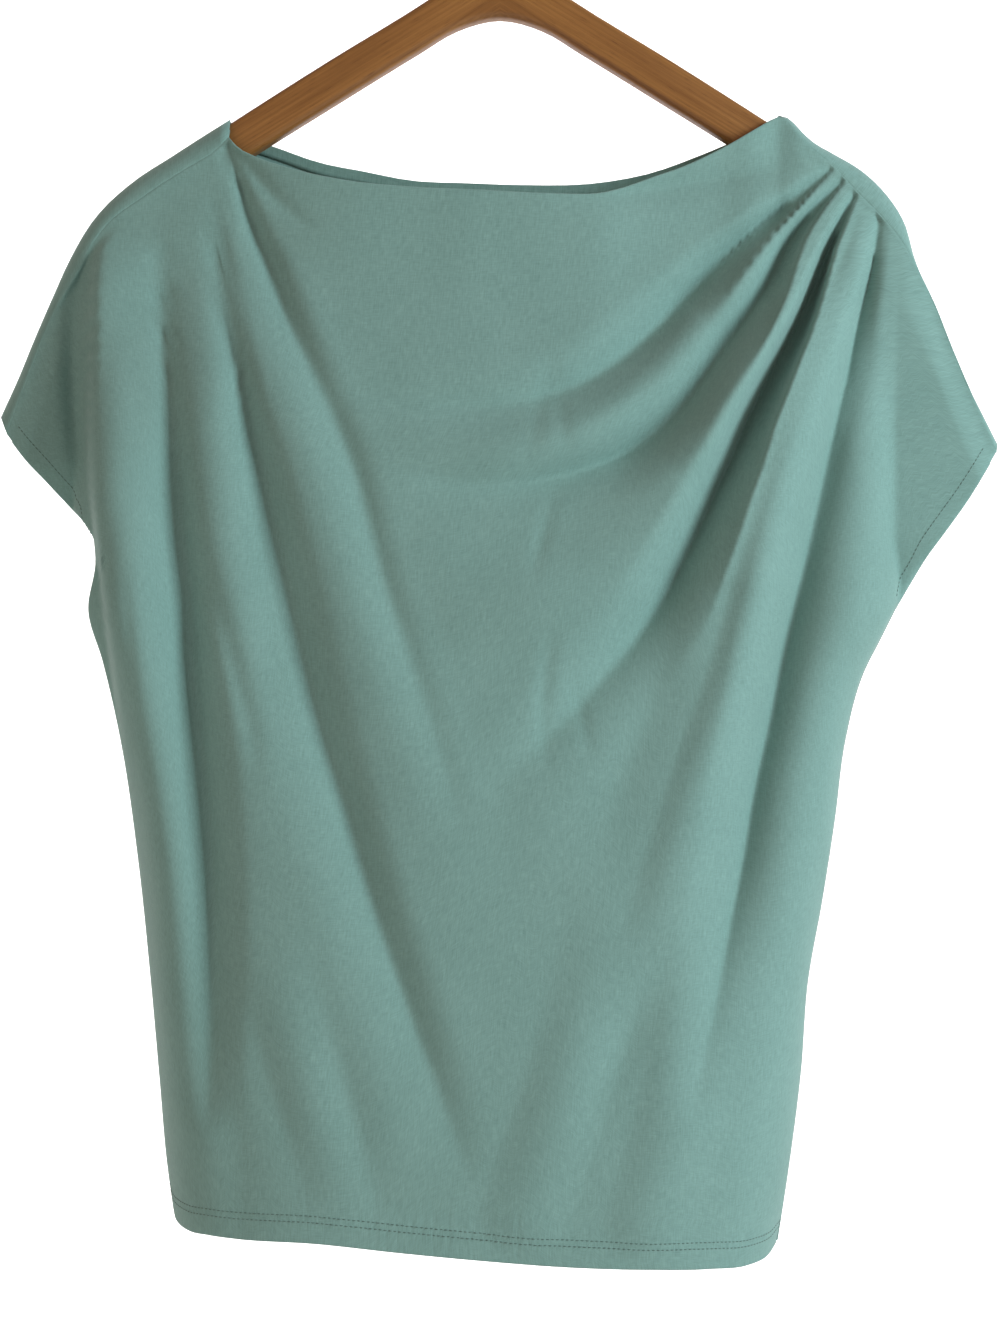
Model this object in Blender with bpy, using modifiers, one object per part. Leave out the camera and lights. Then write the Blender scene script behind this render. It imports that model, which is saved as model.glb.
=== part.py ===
"""A draped boat-neck t-shirt in fine jersey, hung on a wooden hanger.

The top is cut in two panels. The back one laps over the shoulders to seams that lie
in front of the hanger, and the cap sleeves are cut in one with both panels. The front
is pleated into the right shoulder seam, so its cloth swags across the chest.
+X is the right hand of someone facing the front, the front faces -Y and +Z is up.
The origin is where the hook's inner top rests on its rail.
"""
from collections import namedtuple
import math

import bmesh
import bpy
import numpy as np

OBJECT_NAME = "draped_t_shirt"
MM = 0.001

# Cloth
WALL = 1.6
SEAM_GAP = 0.3
BINDING_WALL = 0.9
BINDING_FROM_NECK_END = 2

# Tables give mm across from the middle of the hanger and mm down from DROP_LEVEL, on the
# hanger's own plane, as seen square on from VIEW_DISTANCE with the eye at EYE_LEVEL.
# place() then carries a point along its line of sight to its own depth.
VIEW_DISTANCE = 1000.0
EYE_LEVEL = -475.0
DROP_LEVEL = -101.6

# Grid of each panel: steps along the shoulders, the neck, the sleeve hems and the sides
LEFT_SHOULDER_STEPS = 10
RIGHT_SHOULDER_STEPS = 15
FRONT_NECK_STEPS = 19
BACK_NECK_STEPS = 14
FRONT_ROWS = 40
BACK_ROWS = 22
BACK_CREST_SHARES = (0, 0.003, 0.009, 0.018, 0.032)
UNDERARM_SHARE = 0.225
FLAP_STEPS = 3

# Edges of the front panel: across, down, depth (negative is towards the front)
LEFT_SEAM = (
    (-278, 241, -8), (-266, 214, -9), (-256, 190, -9), (-246, 169, -9), (-236, 152, -10),
    (-225, 132, -10), (-216, 122, -10), (-202, 112, -10), (-192, 105, -10),
    (-173, 93, -10), (-161, 86, -10), (-152, 77, -10),
)
FRONT_NECK = (
    (-152, 77, -10), (-148, 82, -12), (-137, 88, -15), (-119, 94, -19), (-87, 101, -23),
    (-46, 105, -25), (-11, 106.5, -26), (30, 108.5, -26), (58, 108, -25), (73, 104, -22),
    (84, 100, -20), (104, 93, -17), (124, 83.5, -14), (150, 69, -10), (157, 66, -6),
)
RIGHT_SEAM = (
    (157, 66, -6), (164, 73, -9), (172, 82, -10), (187, 94, -10), (200, 108, -10),
    (212, 120, -10), (226, 137, -10), (240.5, 168, -9), (251.5, 196, -9), (263.5, 224, -9),
    (277, 254, -8),
)
FRONT_HEM = (
    (-182, 685), (-168, 690), (-149, 693), (-103, 696), (-57, 701), (-10, 705.5),
    (36, 709), (82, 710.5), (118, 710), (141, 706.5), (154, 698),
)

# Edges that both panels share: across, down
LEFT_SLEEVE_HEM = ((-278, 241), (-267, 255), (-254, 269), (-241, 283), (-232, 293), (-227, 301))
RIGHT_SLEEVE_HEM = ((277, 254), (264, 276), (250, 296), (239, 311), (228, 329), (221, 341))
LEFT_SIDE = (
    (-227, 301), (-226, 314), (-230, 342), (-222, 370), (-212, 414), (-202, 482),
    (-195, 549), (-190, 605), (-186, 655), (-182, 685),
)
RIGHT_SIDE = (
    (221, 341), (213, 357), (203, 377), (193, 414), (187, 459), (180, 504), (172, 549),
    (168, 600), (161, 655), (154, 698),
)

# Edges of the back panel: the shoulder crests, the neck and the hem
LEFT_CREST = (
    (-279, 234, 0), (-269, 212, 0), (-260, 190, 0), (-250, 167, 0), (-240, 145, 0),
    (-226, 122, 0), (-202, 100, 0), (-184, 88.5, 0), (-167, 77.5, 0), (-151, 67.5, 0),
)
BACK_NECK = (
    (-151, 67.5, 0), (-150.5, 69, 6), (-149, 73, 9.5), (-141, 77, 11), (-124, 83, 13),
    (-101, 91, 15), (-76, 96, 17), (-50, 101, 18), (-18, 102.5, 19), (11, 103.5, 19),
    (54, 102.5, 18), (84, 97, 16), (112, 87, 13), (138, 76, 11), (152, 71, 9.5),
    (156, 67, 6), (157, 65.5, 0),
)
RIGHT_CREST = (
    (157, 65.5, 0), (161, 66.5, 0), (167, 71.5, 0), (175, 80, 0), (187, 87, 0), (202, 96, 0),
    (213, 106, 0), (225, 123, 0), (232, 146, 0), (241, 168, 0), (250, 190, 0), (260, 213, 0),
    (271, 235, 0), (278, 249, 0),
)
BACK_HEM = ((-182, 685), (-150, 678), (-90, 675), (0, 677), (85, 683), (130, 690), (154, 698))

# Cross sections of the body: down, its left and right limits, and how far it stands out
# to the front and to the back
Section = namedtuple("Section", "down left right front back")
BODY_SECTIONS = (
    Section(60, -226, 222, 14, 10),
    Section(120, -226, 222, 24, 18),
    Section(200, -227, 222, 40, 27),
    Section(300, -227, 222, 50, 33),
    Section(342, -230, 221, 52, 35),
    Section(377, -220, 203, 53, 36),
    Section(414, -212, 193, 54, 37),
    Section(482, -202, 184, 56, 39),
    Section(549, -195, 172, 58, 41),
    Section(605, -190, 167, 60, 42),
    Section(655, -186, 161, 62, 43),
    Section(712, -181, 151, 63, 43),
)
SIDE_ROUNDNESS = 3.0
SETTLE_REACH = 150.0
SLEEVE_DEPTH = 12.0
SLEEVE_CLOSE = 45.0
SLEEVE_SETTLE = 40.0
SLEEVE_BREAK_SOFTNESS = 6.0
LEFT_UNDERARM = LEFT_SLEEVE_HEM[-1][1]
RIGHT_UNDERARM = RIGHT_SLEEVE_HEM[-1][1]
CREST_DROP = 11.0
CREST_HALF = 9.5
CLEAR_OF_FACE = 1.2
SEAM_HOLD = 12.0
FADE_SHARE = 0.1
BACK_HOLD_START = 5.5
BACK_HOLD_REACH = 24.0
NARROW_START = 0.35
SIDE_HOLD_POWER = 8
SIDE_HOLD_START = -25.0
SIDE_HOLD_REACH = 50.0
NECK_END_FREE = 8.0
EDGE_INFLUENCE = 1.3
WOOD_EASE = 3.0

# Folds: the path of each, its depth along the path (positive is a crease pressed in, with
# a narrow bottom, negative a roll that stands out, with a broad top), how far its two
# slopes reach, how round its bottom is, and the share of its path over which it opens
# to that reach
Fold = namedtuple("Fold", "name path depths left right soft opens")
FRONT_FOLDS = (
    Fold("left_side_roll", ((-206, 125), (-206, 200), (-204, 300), (-196, 400)),
         (0, -7, -9, -5, 0), 30, 26, 0, 0),
    Fold("left_outer", ((-192, 135), (-182, 224), (-178, 269), (-174, 314), (-166, 364),
                        (-161, 420), (-155, 480), (-151, 526), (-152, 600)),
         (0, 6, 10, 11, 10, 7, 4, 0), 30, 46, 4, 0.1),
    Fold("left_outer_twin", ((-168, 300), (-158, 342), (-148, 384), (-136, 436)),
         (0, 5, 6, 4, 0), 16, 26, 2, 0),
    Fold("left_middle_roll", ((-170, 120), (-160, 200), (-150, 290), (-132, 400), (-118, 500)),
         (0, -7, -9, -8, -5, 0), 30, 34, 0, 0),
    Fold("left_inner", ((-158, 104), (-154, 150), (-148, 186), (-139, 231), (-129, 282),
                        (-111, 358), (-88, 430), (-64, 504), (-39, 588), (-11, 661), (2, 700)),
         (0, 6, 9, 10, 10, 9, 8, 6, 4), 34, 54, 7, 0.15),
    Fold("left_inner_roll", ((-140, 130), (-118, 216), (-92, 300), (-60, 390), (-30, 470),
                             (-4, 560)),
         (0, -5, -8, -7, -4, -2, 0), 40, 50, 0, 0),
    Fold("left_neck", ((-152, 79), (-147, 106), (-139, 129), (-130, 150), (-118, 179),
                       (-105, 202), (-90, 241), (-73, 280), (-56, 325), (-39, 364)),
         (3, 9, 9, 8, 6, 4, 2, 0), 18, 32, 2, 0.3),
    Fold("left_neck_twin", ((-145, 84), (-137, 101), (-127, 113), (-116, 123), (-104, 129)),
         (2, 4, 3, 0), 12, 18, 2, 0.3),
    Fold("neck_dip", ((28, 109), (78, 105), (112, 100), (146, 93), (168, 88), (188, 84)),
         (0, 3, 6, 6, 3, 0), 18, 20, 3, 0),
    Fold("first_pleat", ((188, 93), (168, 112), (140, 137), (112, 162), (92, 185), (73, 204),
                         (50, 218), (22, 228), (-8, 232)),
         (3, 12, 16, 14, 10, 6, 3, 0), 22, 36, 2, 0.4),
    Fold("second_pleat", ((195, 100), (176, 126), (157, 162), (140, 196), (123, 220),
                          (104, 246), (80, 272), (50, 290), (16, 298), (-16, 292)),
         (3, 17, 21, 19, 15, 11, 7, 4, 0), 26, 40, 2, 0.35),
    Fold("third_pleat", ((201, 107), (185, 140), (168, 179), (151, 224), (134, 258),
                         (118, 297), (106, 330), (95, 358), (82, 396), (66, 438), (42, 486)),
         (3, 20, 27, 25, 21, 16, 12, 8, 4, 0), 28, 40, 2, 0.3),
    Fold("pleat_swell", ((186, 104), (170, 150), (150, 200), (128, 260), (108, 330)),
         (-8, -22, -20, -12, 0), 76, 60, 0, 0),
    Fold("shoulder_roll", ((206, 112), (198, 146), (184, 185), (169, 235), (158, 280),
                           (148, 336), (136, 381), (112, 437), (92, 493), (76, 530), (52, 580)),
         (0, -6, -9, -10, -9, -8, -6, -3, 0), 26, 30, 0, 0.2),
    Fold("fourth_pleat", ((213, 119), (210, 151), (204, 179), (193, 224), (185, 263),
                          (176, 314), (168, 358), (151, 437), (143, 476), (130, 538),
                          (120, 590)),
         (3, 14, 17, 16, 14, 11, 8, 5, 0), 28, 40, 2, 0.25),
    Fold("chest_roll", ((120, 176), (84, 215), (46, 240), (0, 250), (-40, 238)),
         (0, -5, -6, -4, 0), 26, 26, 0, 0),
    Fold("belly_roll", ((108, 258), (76, 304), (30, 334), (-20, 330), (-56, 300)),
         (0, -6, -7, -4, 0), 34, 34, 0, 0),
    Fold("low_right", ((94, 545), (72, 586), (50, 624)), (0, 4, 0), 30, 30, 5, 0),
    Fold("low_right_roll", ((116, 575), (100, 625), (84, 680)), (0, -5, -3), 30, 30, 0, 0),
    Fold("low_middle_roll", ((56, 560), (36, 614), (14, 672)), (0, -5, -3), 30, 30, 0, 0),
    Fold("low_left_roll", ((-116, 575), (-98, 620), (-76, 665)), (0, -4, -1), 30, 30, 0, 0),
)
BACK_FOLDS = (
    Fold("back_left_outer", ((-198, 125), (-186, 230), (-176, 340), (-170, 470), (-168, 630)),
         (0, -10, -12, -9, -5), 34, 44, 4, 0.2),
    Fold("back_left_inner", ((-162, 95), (-142, 200), (-118, 330), (-96, 470), (-80, 650)),
         (0, -9, -12, -10, -6), 40, 48, 5, 0.2),
    Fold("back_left_neck", ((-140, 84), (-112, 150), (-84, 230), (-48, 330)),
         (-2, -8, -5, 0), 28, 36, 4, 0.3),
    Fold("back_right_neck", ((148, 82), (116, 150), (84, 230), (44, 320)),
         (-2, -7, -5, 0), 32, 32, 4, 0.3),
    Fold("back_right_inner", ((170, 90), (150, 200), (122, 330), (92, 470), (70, 650)),
         (0, -9, -12, -10, -6), 44, 40, 5, 0.2),
    Fold("back_right_outer", ((206, 115), (192, 230), (172, 360), (150, 500), (136, 650)),
         (0, -9, -12, -9, -5), 40, 36, 4, 0.2),
    Fold("back_low_middle", ((-8, 440), (-4, 560), (4, 670)), (0, -5, -5), 48, 48, 8, 0),
)

# Hanger
WOOD_HALF_THICKNESS = 6.0
WOOD_ROUND = 4.0
WOOD_TOP = ((9, -20.5), (40, 0.8), (96, 35.2), (151, 70.2), (185, 92.4), (203, 105.0))
WOOD_END = ((212, 111.5), (218.5, 119), (219, 127), (213, 131.5), (204, 129.5))
WOOD_UNDER = ((180, 114), (133, 84), (88, 56), (45, 29.5), (24, 17))
WOOD_APEX_UNDER = 11.0
WOOD_FACE_END = 14.0
WOOD_SLOPE = 0.61
WOOD_REACH = 222.0
HOOK_WIRE = 3.5
HOOK_BEND = 38.0
HOOK_TIP_ANGLE = 205
HOOK_START_ANGLE = -48
HOOK_BEND_POINTS = 24
HOOK_SHANK_TOP = -52.0
HOOK_TURN = ((1.6, -45.5), (6.0, -40.5))


def smooth_line(rows, per_span=6):
    """A smooth line through the rows, whose tangents allow for uneven spacing."""
    points = np.array(rows, dtype=float)
    gaps = np.linalg.norm(np.diff(points, axis=0), axis=1)[:, None]
    slopes = np.diff(points, axis=0) / gaps
    tangents = np.vstack([slopes[:1], (slopes[:-1] * gaps[1:] + slopes[1:] * gaps[:-1])
                          / (gaps[:-1] + gaps[1:]), slopes[-1:]])
    line = []
    for start in range(len(points) - 1):
        for step in range(per_span):
            s = step / per_span
            line.append((2 * s**3 - 3 * s**2 + 1) * points[start]
                        + (s**3 - 2 * s**2 + s) * gaps[start] * tangents[start]
                        + (3 * s**2 - 2 * s**3) * points[start + 1]
                        + (s**3 - s**2) * gaps[start] * tangents[start + 1])
    line.append(points[-1])
    return np.array(line)


def at_shares(line, shares):
    """Points at the given shares of a line's length."""
    run = np.concatenate([[0], np.cumsum(np.linalg.norm(np.diff(line, axis=0), axis=1))])
    return np.stack([np.interp(shares * run[-1], run, column) for column in line.T], axis=1)


def spread(rows, steps):
    """Points evenly spaced along the smooth line through the rows."""
    return at_shares(smooth_line(rows), np.linspace(0, 1, steps + 1))


def spread_close_at_ends(rows, steps):
    """Points along the same line that lie closer together towards both of its ends."""
    return at_shares(smooth_line(rows), (1 - np.cos(np.linspace(0, math.pi, steps + 1))) / 2)


def join(*lines):
    """Lines end to end, with each shared point kept once."""
    return np.vstack([lines[0]] + [line[1:] for line in lines[1:]])


def ease(value):
    """0 to 1 with level ends."""
    s = np.clip(value, 0, 1)
    return s * s * (3 - 2 * s)


def place(points):
    """Table measures to metres, each point carried to its own depth."""
    across, down, depth = points[..., 0], points[..., 1], points[..., 2]
    ratio = 1 + depth / VIEW_DISTANCE
    height = EYE_LEVEL + (DROP_LEVEL - down - EYE_LEVEL) * ratio
    return np.stack([across * ratio, depth, height], axis=-1) * MM


def distance_to(line, across, down):
    """Distance to a line, how far along it and which side (right of its run is +1)."""
    start = line[:-1, :2]
    run = line[1:, :2] - start
    length = np.linalg.norm(run, axis=1)
    offset_x = across[..., None] - start[:, 0]
    offset_d = down[..., None] - start[:, 1]
    share = np.clip((offset_x * run[:, 0] + offset_d * run[:, 1]) / length**2, 0, 1)
    gap = np.hypot(offset_x - share * run[:, 0], offset_d - share * run[:, 1])
    nearest = np.argmin(gap, axis=-1)[..., None]
    before = np.concatenate([[0], np.cumsum(length)])
    pick = nearest[..., 0]
    along = (before[pick] + np.take_along_axis(share, nearest, -1)[..., 0] * length[pick]) / before[-1]
    turn = run[pick, 0] * np.take_along_axis(offset_d, nearest, -1)[..., 0] \
        - run[pick, 1] * np.take_along_axis(offset_x, nearest, -1)[..., 0]
    return np.take_along_axis(gap, nearest, -1)[..., 0], along, -np.sign(turn)


def depth_along(fold, along):
    """The fold's depth at each share of its path, without corners."""
    shares = np.linspace(0, 100, len(fold.depths))
    line = smooth_line(np.column_stack([shares, fold.depths]))
    depth = np.interp(along * 100, line[:, 0], line[:, 1])
    if fold.depths[0] == 0:
        depth = depth * ease(along / FADE_SHARE)
    if fold.depths[-1] == 0:
        depth = depth * ease((1 - along) / FADE_SHARE)
    return depth


def fold_depths(folds, across, down):
    """How far all folds together move each point in."""
    total = np.zeros_like(across)
    for fold in folds:
        gap, along, side = distance_to(smooth_line(fold.path), across, down)
        reach = np.where(side < 0, fold.left, fold.right)
        if fold.opens:
            reach = reach * (NARROW_START + (1 - NARROW_START) * ease(along / fold.opens))
        depth = depth_along(fold, along)
        if fold.soft:
            share = np.clip((np.hypot(gap, fold.soft) - fold.soft) / reach, 0, 1)
            total += depth * (1 - share) ** 2
        else:
            share = np.clip(gap / reach, 0, 1)
            total += depth * (1 - share**2) ** 2
    return total


def body_section(down):
    """The body's left and right limits and its standing out, at each height."""
    table = smooth_line(BODY_SECTIONS)
    return [np.interp(down, table[:, 0], table[:, column]) for column in range(1, 5)]


def body_curve(across, left, right):
    """1 at the middle of the body, 0 at its sides, which it meets square on."""
    offset = np.abs((2 * across - left - right) / (right - left))
    return np.sqrt(np.clip(1 - np.clip(offset, 0, 1) ** SIDE_ROUNDNESS, 0, 1)), offset


def blend_low(first, second, softness):
    """The lower of two values, with the step between them rounded."""
    share = np.clip(0.5 + 0.5 * (second - first) / np.maximum(softness, 1e-6), 0, 1)
    return second + (first - second) * share - softness * share * (1 - share)


def underarm_at(across):
    return np.where(across < 0, LEFT_UNDERARM, RIGHT_UNDERARM)


def side_hold(offset, across, down):
    """Folds fade out at the side seams, below the underarms."""
    under = ease((down - underarm_at(across) - SIDE_HOLD_START) / SIDE_HOLD_REACH)
    return 1 - under * np.clip(offset, 0, 1) ** SIDE_HOLD_POWER


def hung_depth(across, down, top_depth, stand_out, offset_curve, fall):
    """Depth of cloth that leaves its top edge and settles to the body's form."""
    settle = ease(fall / SETTLE_REACH)
    body = top_depth * (1 - settle) + stand_out * offset_curve * settle
    close = ease((underarm_at(across) - down) / SLEEVE_CLOSE)
    sleeve_settle = ease(fall / SLEEVE_SETTLE)
    facing = np.sign(stand_out)
    sleeve = top_depth * (1 - sleeve_settle) + facing * SLEEVE_DEPTH * close * sleeve_settle
    softness = SLEEVE_BREAK_SOFTNESS * sleeve_settle
    return -facing * blend_low(-facing * body, -facing * sleeve, softness)


def clear_of_wood(across, down, depth, facing):
    """Cloth that hangs in front of the hanger, or behind it, stays off its face."""
    below_arm = down - (WOOD_FACE_END + WOOD_SLOPE * np.abs(across))
    past_end = np.abs(across) - WOOD_REACH
    beyond = np.maximum(np.maximum(below_arm, past_end), 0)
    limit = -CREST_HALF + CLEAR_OF_FACE + beyond
    return facing * -blend_low(facing * -depth, limit, WOOD_EASE)


def front_depth(across, down):
    """Depth of the front panel's inner face at each point."""
    top_line = join(smooth_line(LEFT_SEAM), smooth_line(FRONT_NECK), smooth_line(RIGHT_SEAM))
    top_down, top_depth = [np.interp(across, top_line[:, 0], top_line[:, column]) for column in (1, 2)]
    fall = np.maximum(down - top_down, 0)
    left, right, front, _ = body_section(down)
    curve, offset = body_curve(across, left, right)
    depth = hung_depth(across, down, top_depth, -front, curve, fall)
    neck_left, neck_right = FRONT_NECK[0][0], FRONT_NECK[-1][0]
    inside_neck = np.minimum(across - neck_left, neck_right - across)
    held = 1 - ease(inside_neck / NECK_END_FREE)
    hold = 1 - held * (1 - ease(fall / SEAM_HOLD))
    depth = depth + fold_depths(FRONT_FOLDS, across, down) * hold * side_hold(offset, across, down)
    return clear_of_wood(across, down, depth, facing=-1)


def back_depth(across, down):
    """Depth of the back panel's inner face, from the shoulder crests down."""
    top_line = join(smooth_line(LEFT_CREST), smooth_line(BACK_NECK), smooth_line(RIGHT_CREST))
    top_depth = np.interp(across, top_line[:, 0], top_line[:, 2])
    fall, _, _ = distance_to(top_line, across, down)
    turn = np.clip(fall / CREST_DROP, 0, 1)
    over = np.sqrt(1 - (1 - turn) ** 2)
    top_depth = top_depth + (np.maximum(top_depth, CREST_HALF) - top_depth) * over
    left, right, _, back = body_section(down)
    curve, offset = body_curve(across, left, right)
    depth = hung_depth(across, down, top_depth, back, curve, fall)
    hold = ease((fall - BACK_HOLD_START) / BACK_HOLD_REACH)
    return depth + fold_depths(BACK_FOLDS, across, down) * hold * side_hold(offset, across, down)


def outer_edge(sleeve_hem, side, shares):
    """Points down a panel's outer edge: its sleeve hem to the underarm, then its side."""
    under = shares <= UNDERARM_SHARE
    hem_line, side_line = smooth_line(sleeve_hem), smooth_line(side)
    hem = at_shares(hem_line, shares[under] / UNDERARM_SHARE)
    below = at_shares(side_line, (shares[~under] - UNDERARM_SHARE) / (1 - UNDERARM_SHARE))
    return np.vstack([hem, below])


def panel_grid(top, hem, left_edge, right_edge, shares):
    """Points between four edges, whose columns keep the top's spacing near the top."""
    u = np.linspace(0, 1, len(top))[None, :, None]
    t = shares[:, None, None]
    top, hem = top[None, :, :2], hem[None, :, :2]
    left_edge, right_edge = left_edge[:, None, :2], right_edge[:, None, :2]
    top_shape = top - (top[:, :1] * (1 - u) + top[:, -1:] * u)
    hem_shape = hem - (hem[:, :1] * (1 - u) + hem[:, -1:] * u)
    across_edges = left_edge * (1 - u) + right_edge * u
    return across_edges + (1 - t) ** EDGE_INFLUENCE * top_shape + t**EDGE_INFLUENCE * hem_shape


def seam_edge(line):
    """The seam line moved down by the gap, square to its own run."""
    run = np.gradient(line[:, :2], axis=0)
    square = np.stack([-run[:, 1], run[:, 0]], axis=1)
    moved = line.copy()
    moved[:, :2] += SEAM_GAP * square / np.linalg.norm(square, axis=1)[:, None]
    return moved


def front_points():
    top = join(spread(LEFT_SEAM, LEFT_SHOULDER_STEPS), spread(FRONT_NECK, FRONT_NECK_STEPS),
               spread(RIGHT_SEAM, RIGHT_SHOULDER_STEPS))
    shares = np.linspace(0, 1, FRONT_ROWS + 1)
    left_edge = outer_edge(LEFT_SLEEVE_HEM, LEFT_SIDE, shares)
    right_edge = outer_edge(RIGHT_SLEEVE_HEM, RIGHT_SIDE, shares)
    grid = panel_grid(top, spread(FRONT_HEM, len(top) - 1), left_edge, right_edge, shares)
    depth = front_depth(grid[..., 0], grid[..., 1])
    depth[0] = top[:, 2]
    grid[0] = seam_edge(top)[:, :2]
    side = shares >= UNDERARM_SHARE
    depth[side, 0] = depth[side, -1] = -SEAM_GAP / 2
    return place(np.dstack([grid, depth]))


def back_grid():
    top = join(spread(LEFT_CREST, LEFT_SHOULDER_STEPS),
               spread_close_at_ends(BACK_NECK, BACK_NECK_STEPS),
               spread(RIGHT_CREST, RIGHT_SHOULDER_STEPS))
    rest = np.linspace(BACK_CREST_SHARES[-1], 1, BACK_ROWS + 1)
    shares = np.concatenate([BACK_CREST_SHARES[:-1], rest])
    left_edge = outer_edge((LEFT_CREST[0][:2],) + LEFT_SLEEVE_HEM[1:], LEFT_SIDE, shares)
    right_edge = outer_edge((RIGHT_CREST[-1][:2],) + RIGHT_SLEEVE_HEM[1:], RIGHT_SIDE, shares)
    grid = panel_grid(top, spread(BACK_HEM, len(top) - 1), left_edge, right_edge, shares)
    depth = back_depth(grid[..., 0], grid[..., 1])
    depth[0] = top[:, 2]
    side = shares >= UNDERARM_SHARE
    depth[side, 0] = depth[side, -1] = SEAM_GAP / 2
    return np.dstack([grid, depth])


def flap_points(crest, seam):
    """The lap of the back panel, from the shoulder crest down to the seam in front."""
    rows = []
    for step in range(1, FLAP_STEPS + 1):
        angle = math.pi / 2 * step / FLAP_STEPS
        row = crest.copy()
        row[:, :2] += (seam[:, :2] - crest[:, :2]) * (1 - math.cos(angle))
        row[:, 2] += (seam[:, 2] - crest[:, 2]) * math.sin(angle)
        rows.append(row)
    return rows


def add_grid(mesh, rows, facing):
    """Quads between rows of vertices, wound to face the given way."""
    for upper, lower in zip(rows[:-1], rows[1:]):
        for column in range(len(upper) - 1):
            corners = [upper[column], lower[column], lower[column + 1], upper[column + 1]]
            mesh.faces.new(corners if facing < 0 else corners[::-1])


def new_vertices(mesh, points):
    return [[mesh.verts.new(point) for point in row] for row in points]


def finish_object(name, mesh, material, collection):
    """A named object of the mesh, in its collection, with its one material."""
    data = bpy.data.meshes.new(name)
    mesh.to_mesh(data)
    mesh.free()
    data.shade_smooth()
    data.materials.append(material)
    item = bpy.data.objects.new(name, data)
    collection.objects.link(item)
    return item


def thicken(item, wall):
    """The wall stands on the outer side of the modelled face."""
    solid = item.modifiers.new("wall", "SOLIDIFY")
    solid.thickness = wall * MM
    solid.offset = 1.0
    solid.use_even_offset = False
    solid.use_rim = True


def make_front_panel(material, collection):
    mesh = bmesh.new()
    add_grid(mesh, new_vertices(mesh, front_points()), facing=-1)
    thicken(finish_object("front_panel", mesh, material, collection), WALL)


def make_back_panel(material, collection):
    mesh = bmesh.new()
    table_points = back_grid()
    rows = new_vertices(mesh, place(table_points))
    add_grid(mesh, rows, facing=1)
    shoulders = (
        (slice(0, LEFT_SHOULDER_STEPS + 1), spread(LEFT_SEAM, LEFT_SHOULDER_STEPS)),
        (slice(-RIGHT_SHOULDER_STEPS - 1, None), spread(RIGHT_SEAM, RIGHT_SHOULDER_STEPS)),
    )
    for columns, seam in shoulders:
        flap = flap_points(table_points[0][columns], seam)
        flap_rows = [rows[0][columns]] + new_vertices(mesh, [place(row) for row in flap])
        add_grid(mesh, flap_rows, facing=-1)
    thicken(finish_object("back_panel", mesh, material, collection), WALL)


def make_back_neck_binding(material, collection):
    """The narrow strip that finishes the inside of the back neck."""
    first = LEFT_SHOULDER_STEPS + BINDING_FROM_NECK_END
    last = LEFT_SHOULDER_STEPS + BACK_NECK_STEPS - BINDING_FROM_NECK_END
    strip = back_grid()[0:3, first:last + 1].copy()
    strip[..., 2] -= SEAM_GAP
    mesh = bmesh.new()
    add_grid(mesh, new_vertices(mesh, place(strip)), facing=-1)
    thicken(finish_object("back_neck_binding", mesh, material, collection), BINDING_WALL)


def make_hanger_wood(material, collection):
    """Both arms as one flat outline, with its edges rounded over."""
    half = list(WOOD_TOP) + list(WOOD_END) + list(WOOD_UNDER)
    outline = half + [(0, WOOD_APEX_UNDER)] + [(-across, down) for across, down in reversed(half)]
    curve = bpy.data.curves.new("hanger_wood", "CURVE")
    curve.dimensions = "2D"
    curve.fill_mode = "BOTH"
    curve.extrude = (WOOD_HALF_THICKNESS - WOOD_ROUND) * MM
    curve.bevel_depth = WOOD_ROUND * MM
    curve.bevel_resolution = 2
    curve.offset = -WOOD_ROUND * MM
    spline = curve.splines.new("POLY")
    spline.points.add(len(outline) - 1)
    for point, (across, down) in zip(spline.points, outline):
        point.co = (across * MM, (DROP_LEVEL - down) * MM, 0, 1)
    spline.use_cyclic_u = True
    curve.materials.append(material)
    item = bpy.data.objects.new("hanger_wood", curve)
    item.rotation_euler = (math.pi / 2, 0, 0)
    collection.objects.link(item)


def hook_line():
    """The hook's middle line: a straight shank, a short turn and a round bend."""
    wire = HOOK_WIRE / 2
    radius = HOOK_BEND / 2 + wire
    centre = wire - radius
    seat = DROP_LEVEL - WOOD_TOP[0][1] + SEAM_GAP
    bend = []
    for angle in np.radians(np.linspace(HOOK_START_ANGLE, HOOK_TIP_ANGLE, HOOK_BEND_POINTS)):
        bend.append((radius * math.cos(angle), centre + radius * math.sin(angle)))
    shank = [(0, seat), (0, (seat + HOOK_SHANK_TOP) / 2), (0, HOOK_SHANK_TOP)]
    return shank + list(HOOK_TURN) + bend


def make_hanger_hook(material, collection):
    curve = bpy.data.curves.new("hanger_hook", "CURVE")
    curve.dimensions = "3D"
    curve.bevel_depth = HOOK_WIRE / 2 * MM
    curve.bevel_resolution = 2
    curve.use_fill_caps = True
    line = hook_line()
    spline = curve.splines.new("POLY")
    spline.points.add(len(line) - 1)
    for point, (across, height) in zip(spline.points, line):
        point.co = (across * MM, 0, height * MM, 1)
    curve.materials.append(material)
    collection.objects.link(bpy.data.objects.new("hanger_hook", curve))


def make_material(name, colour, roughness, metallic=0.0):
    material = bpy.data.materials.new(name)
    material.use_nodes = True
    shader = material.node_tree.nodes["Principled BSDF"]
    shader.inputs["Base Color"].default_value = (*colour, 1)
    shader.inputs["Roughness"].default_value = roughness
    shader.inputs["Metallic"].default_value = metallic
    return material


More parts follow.
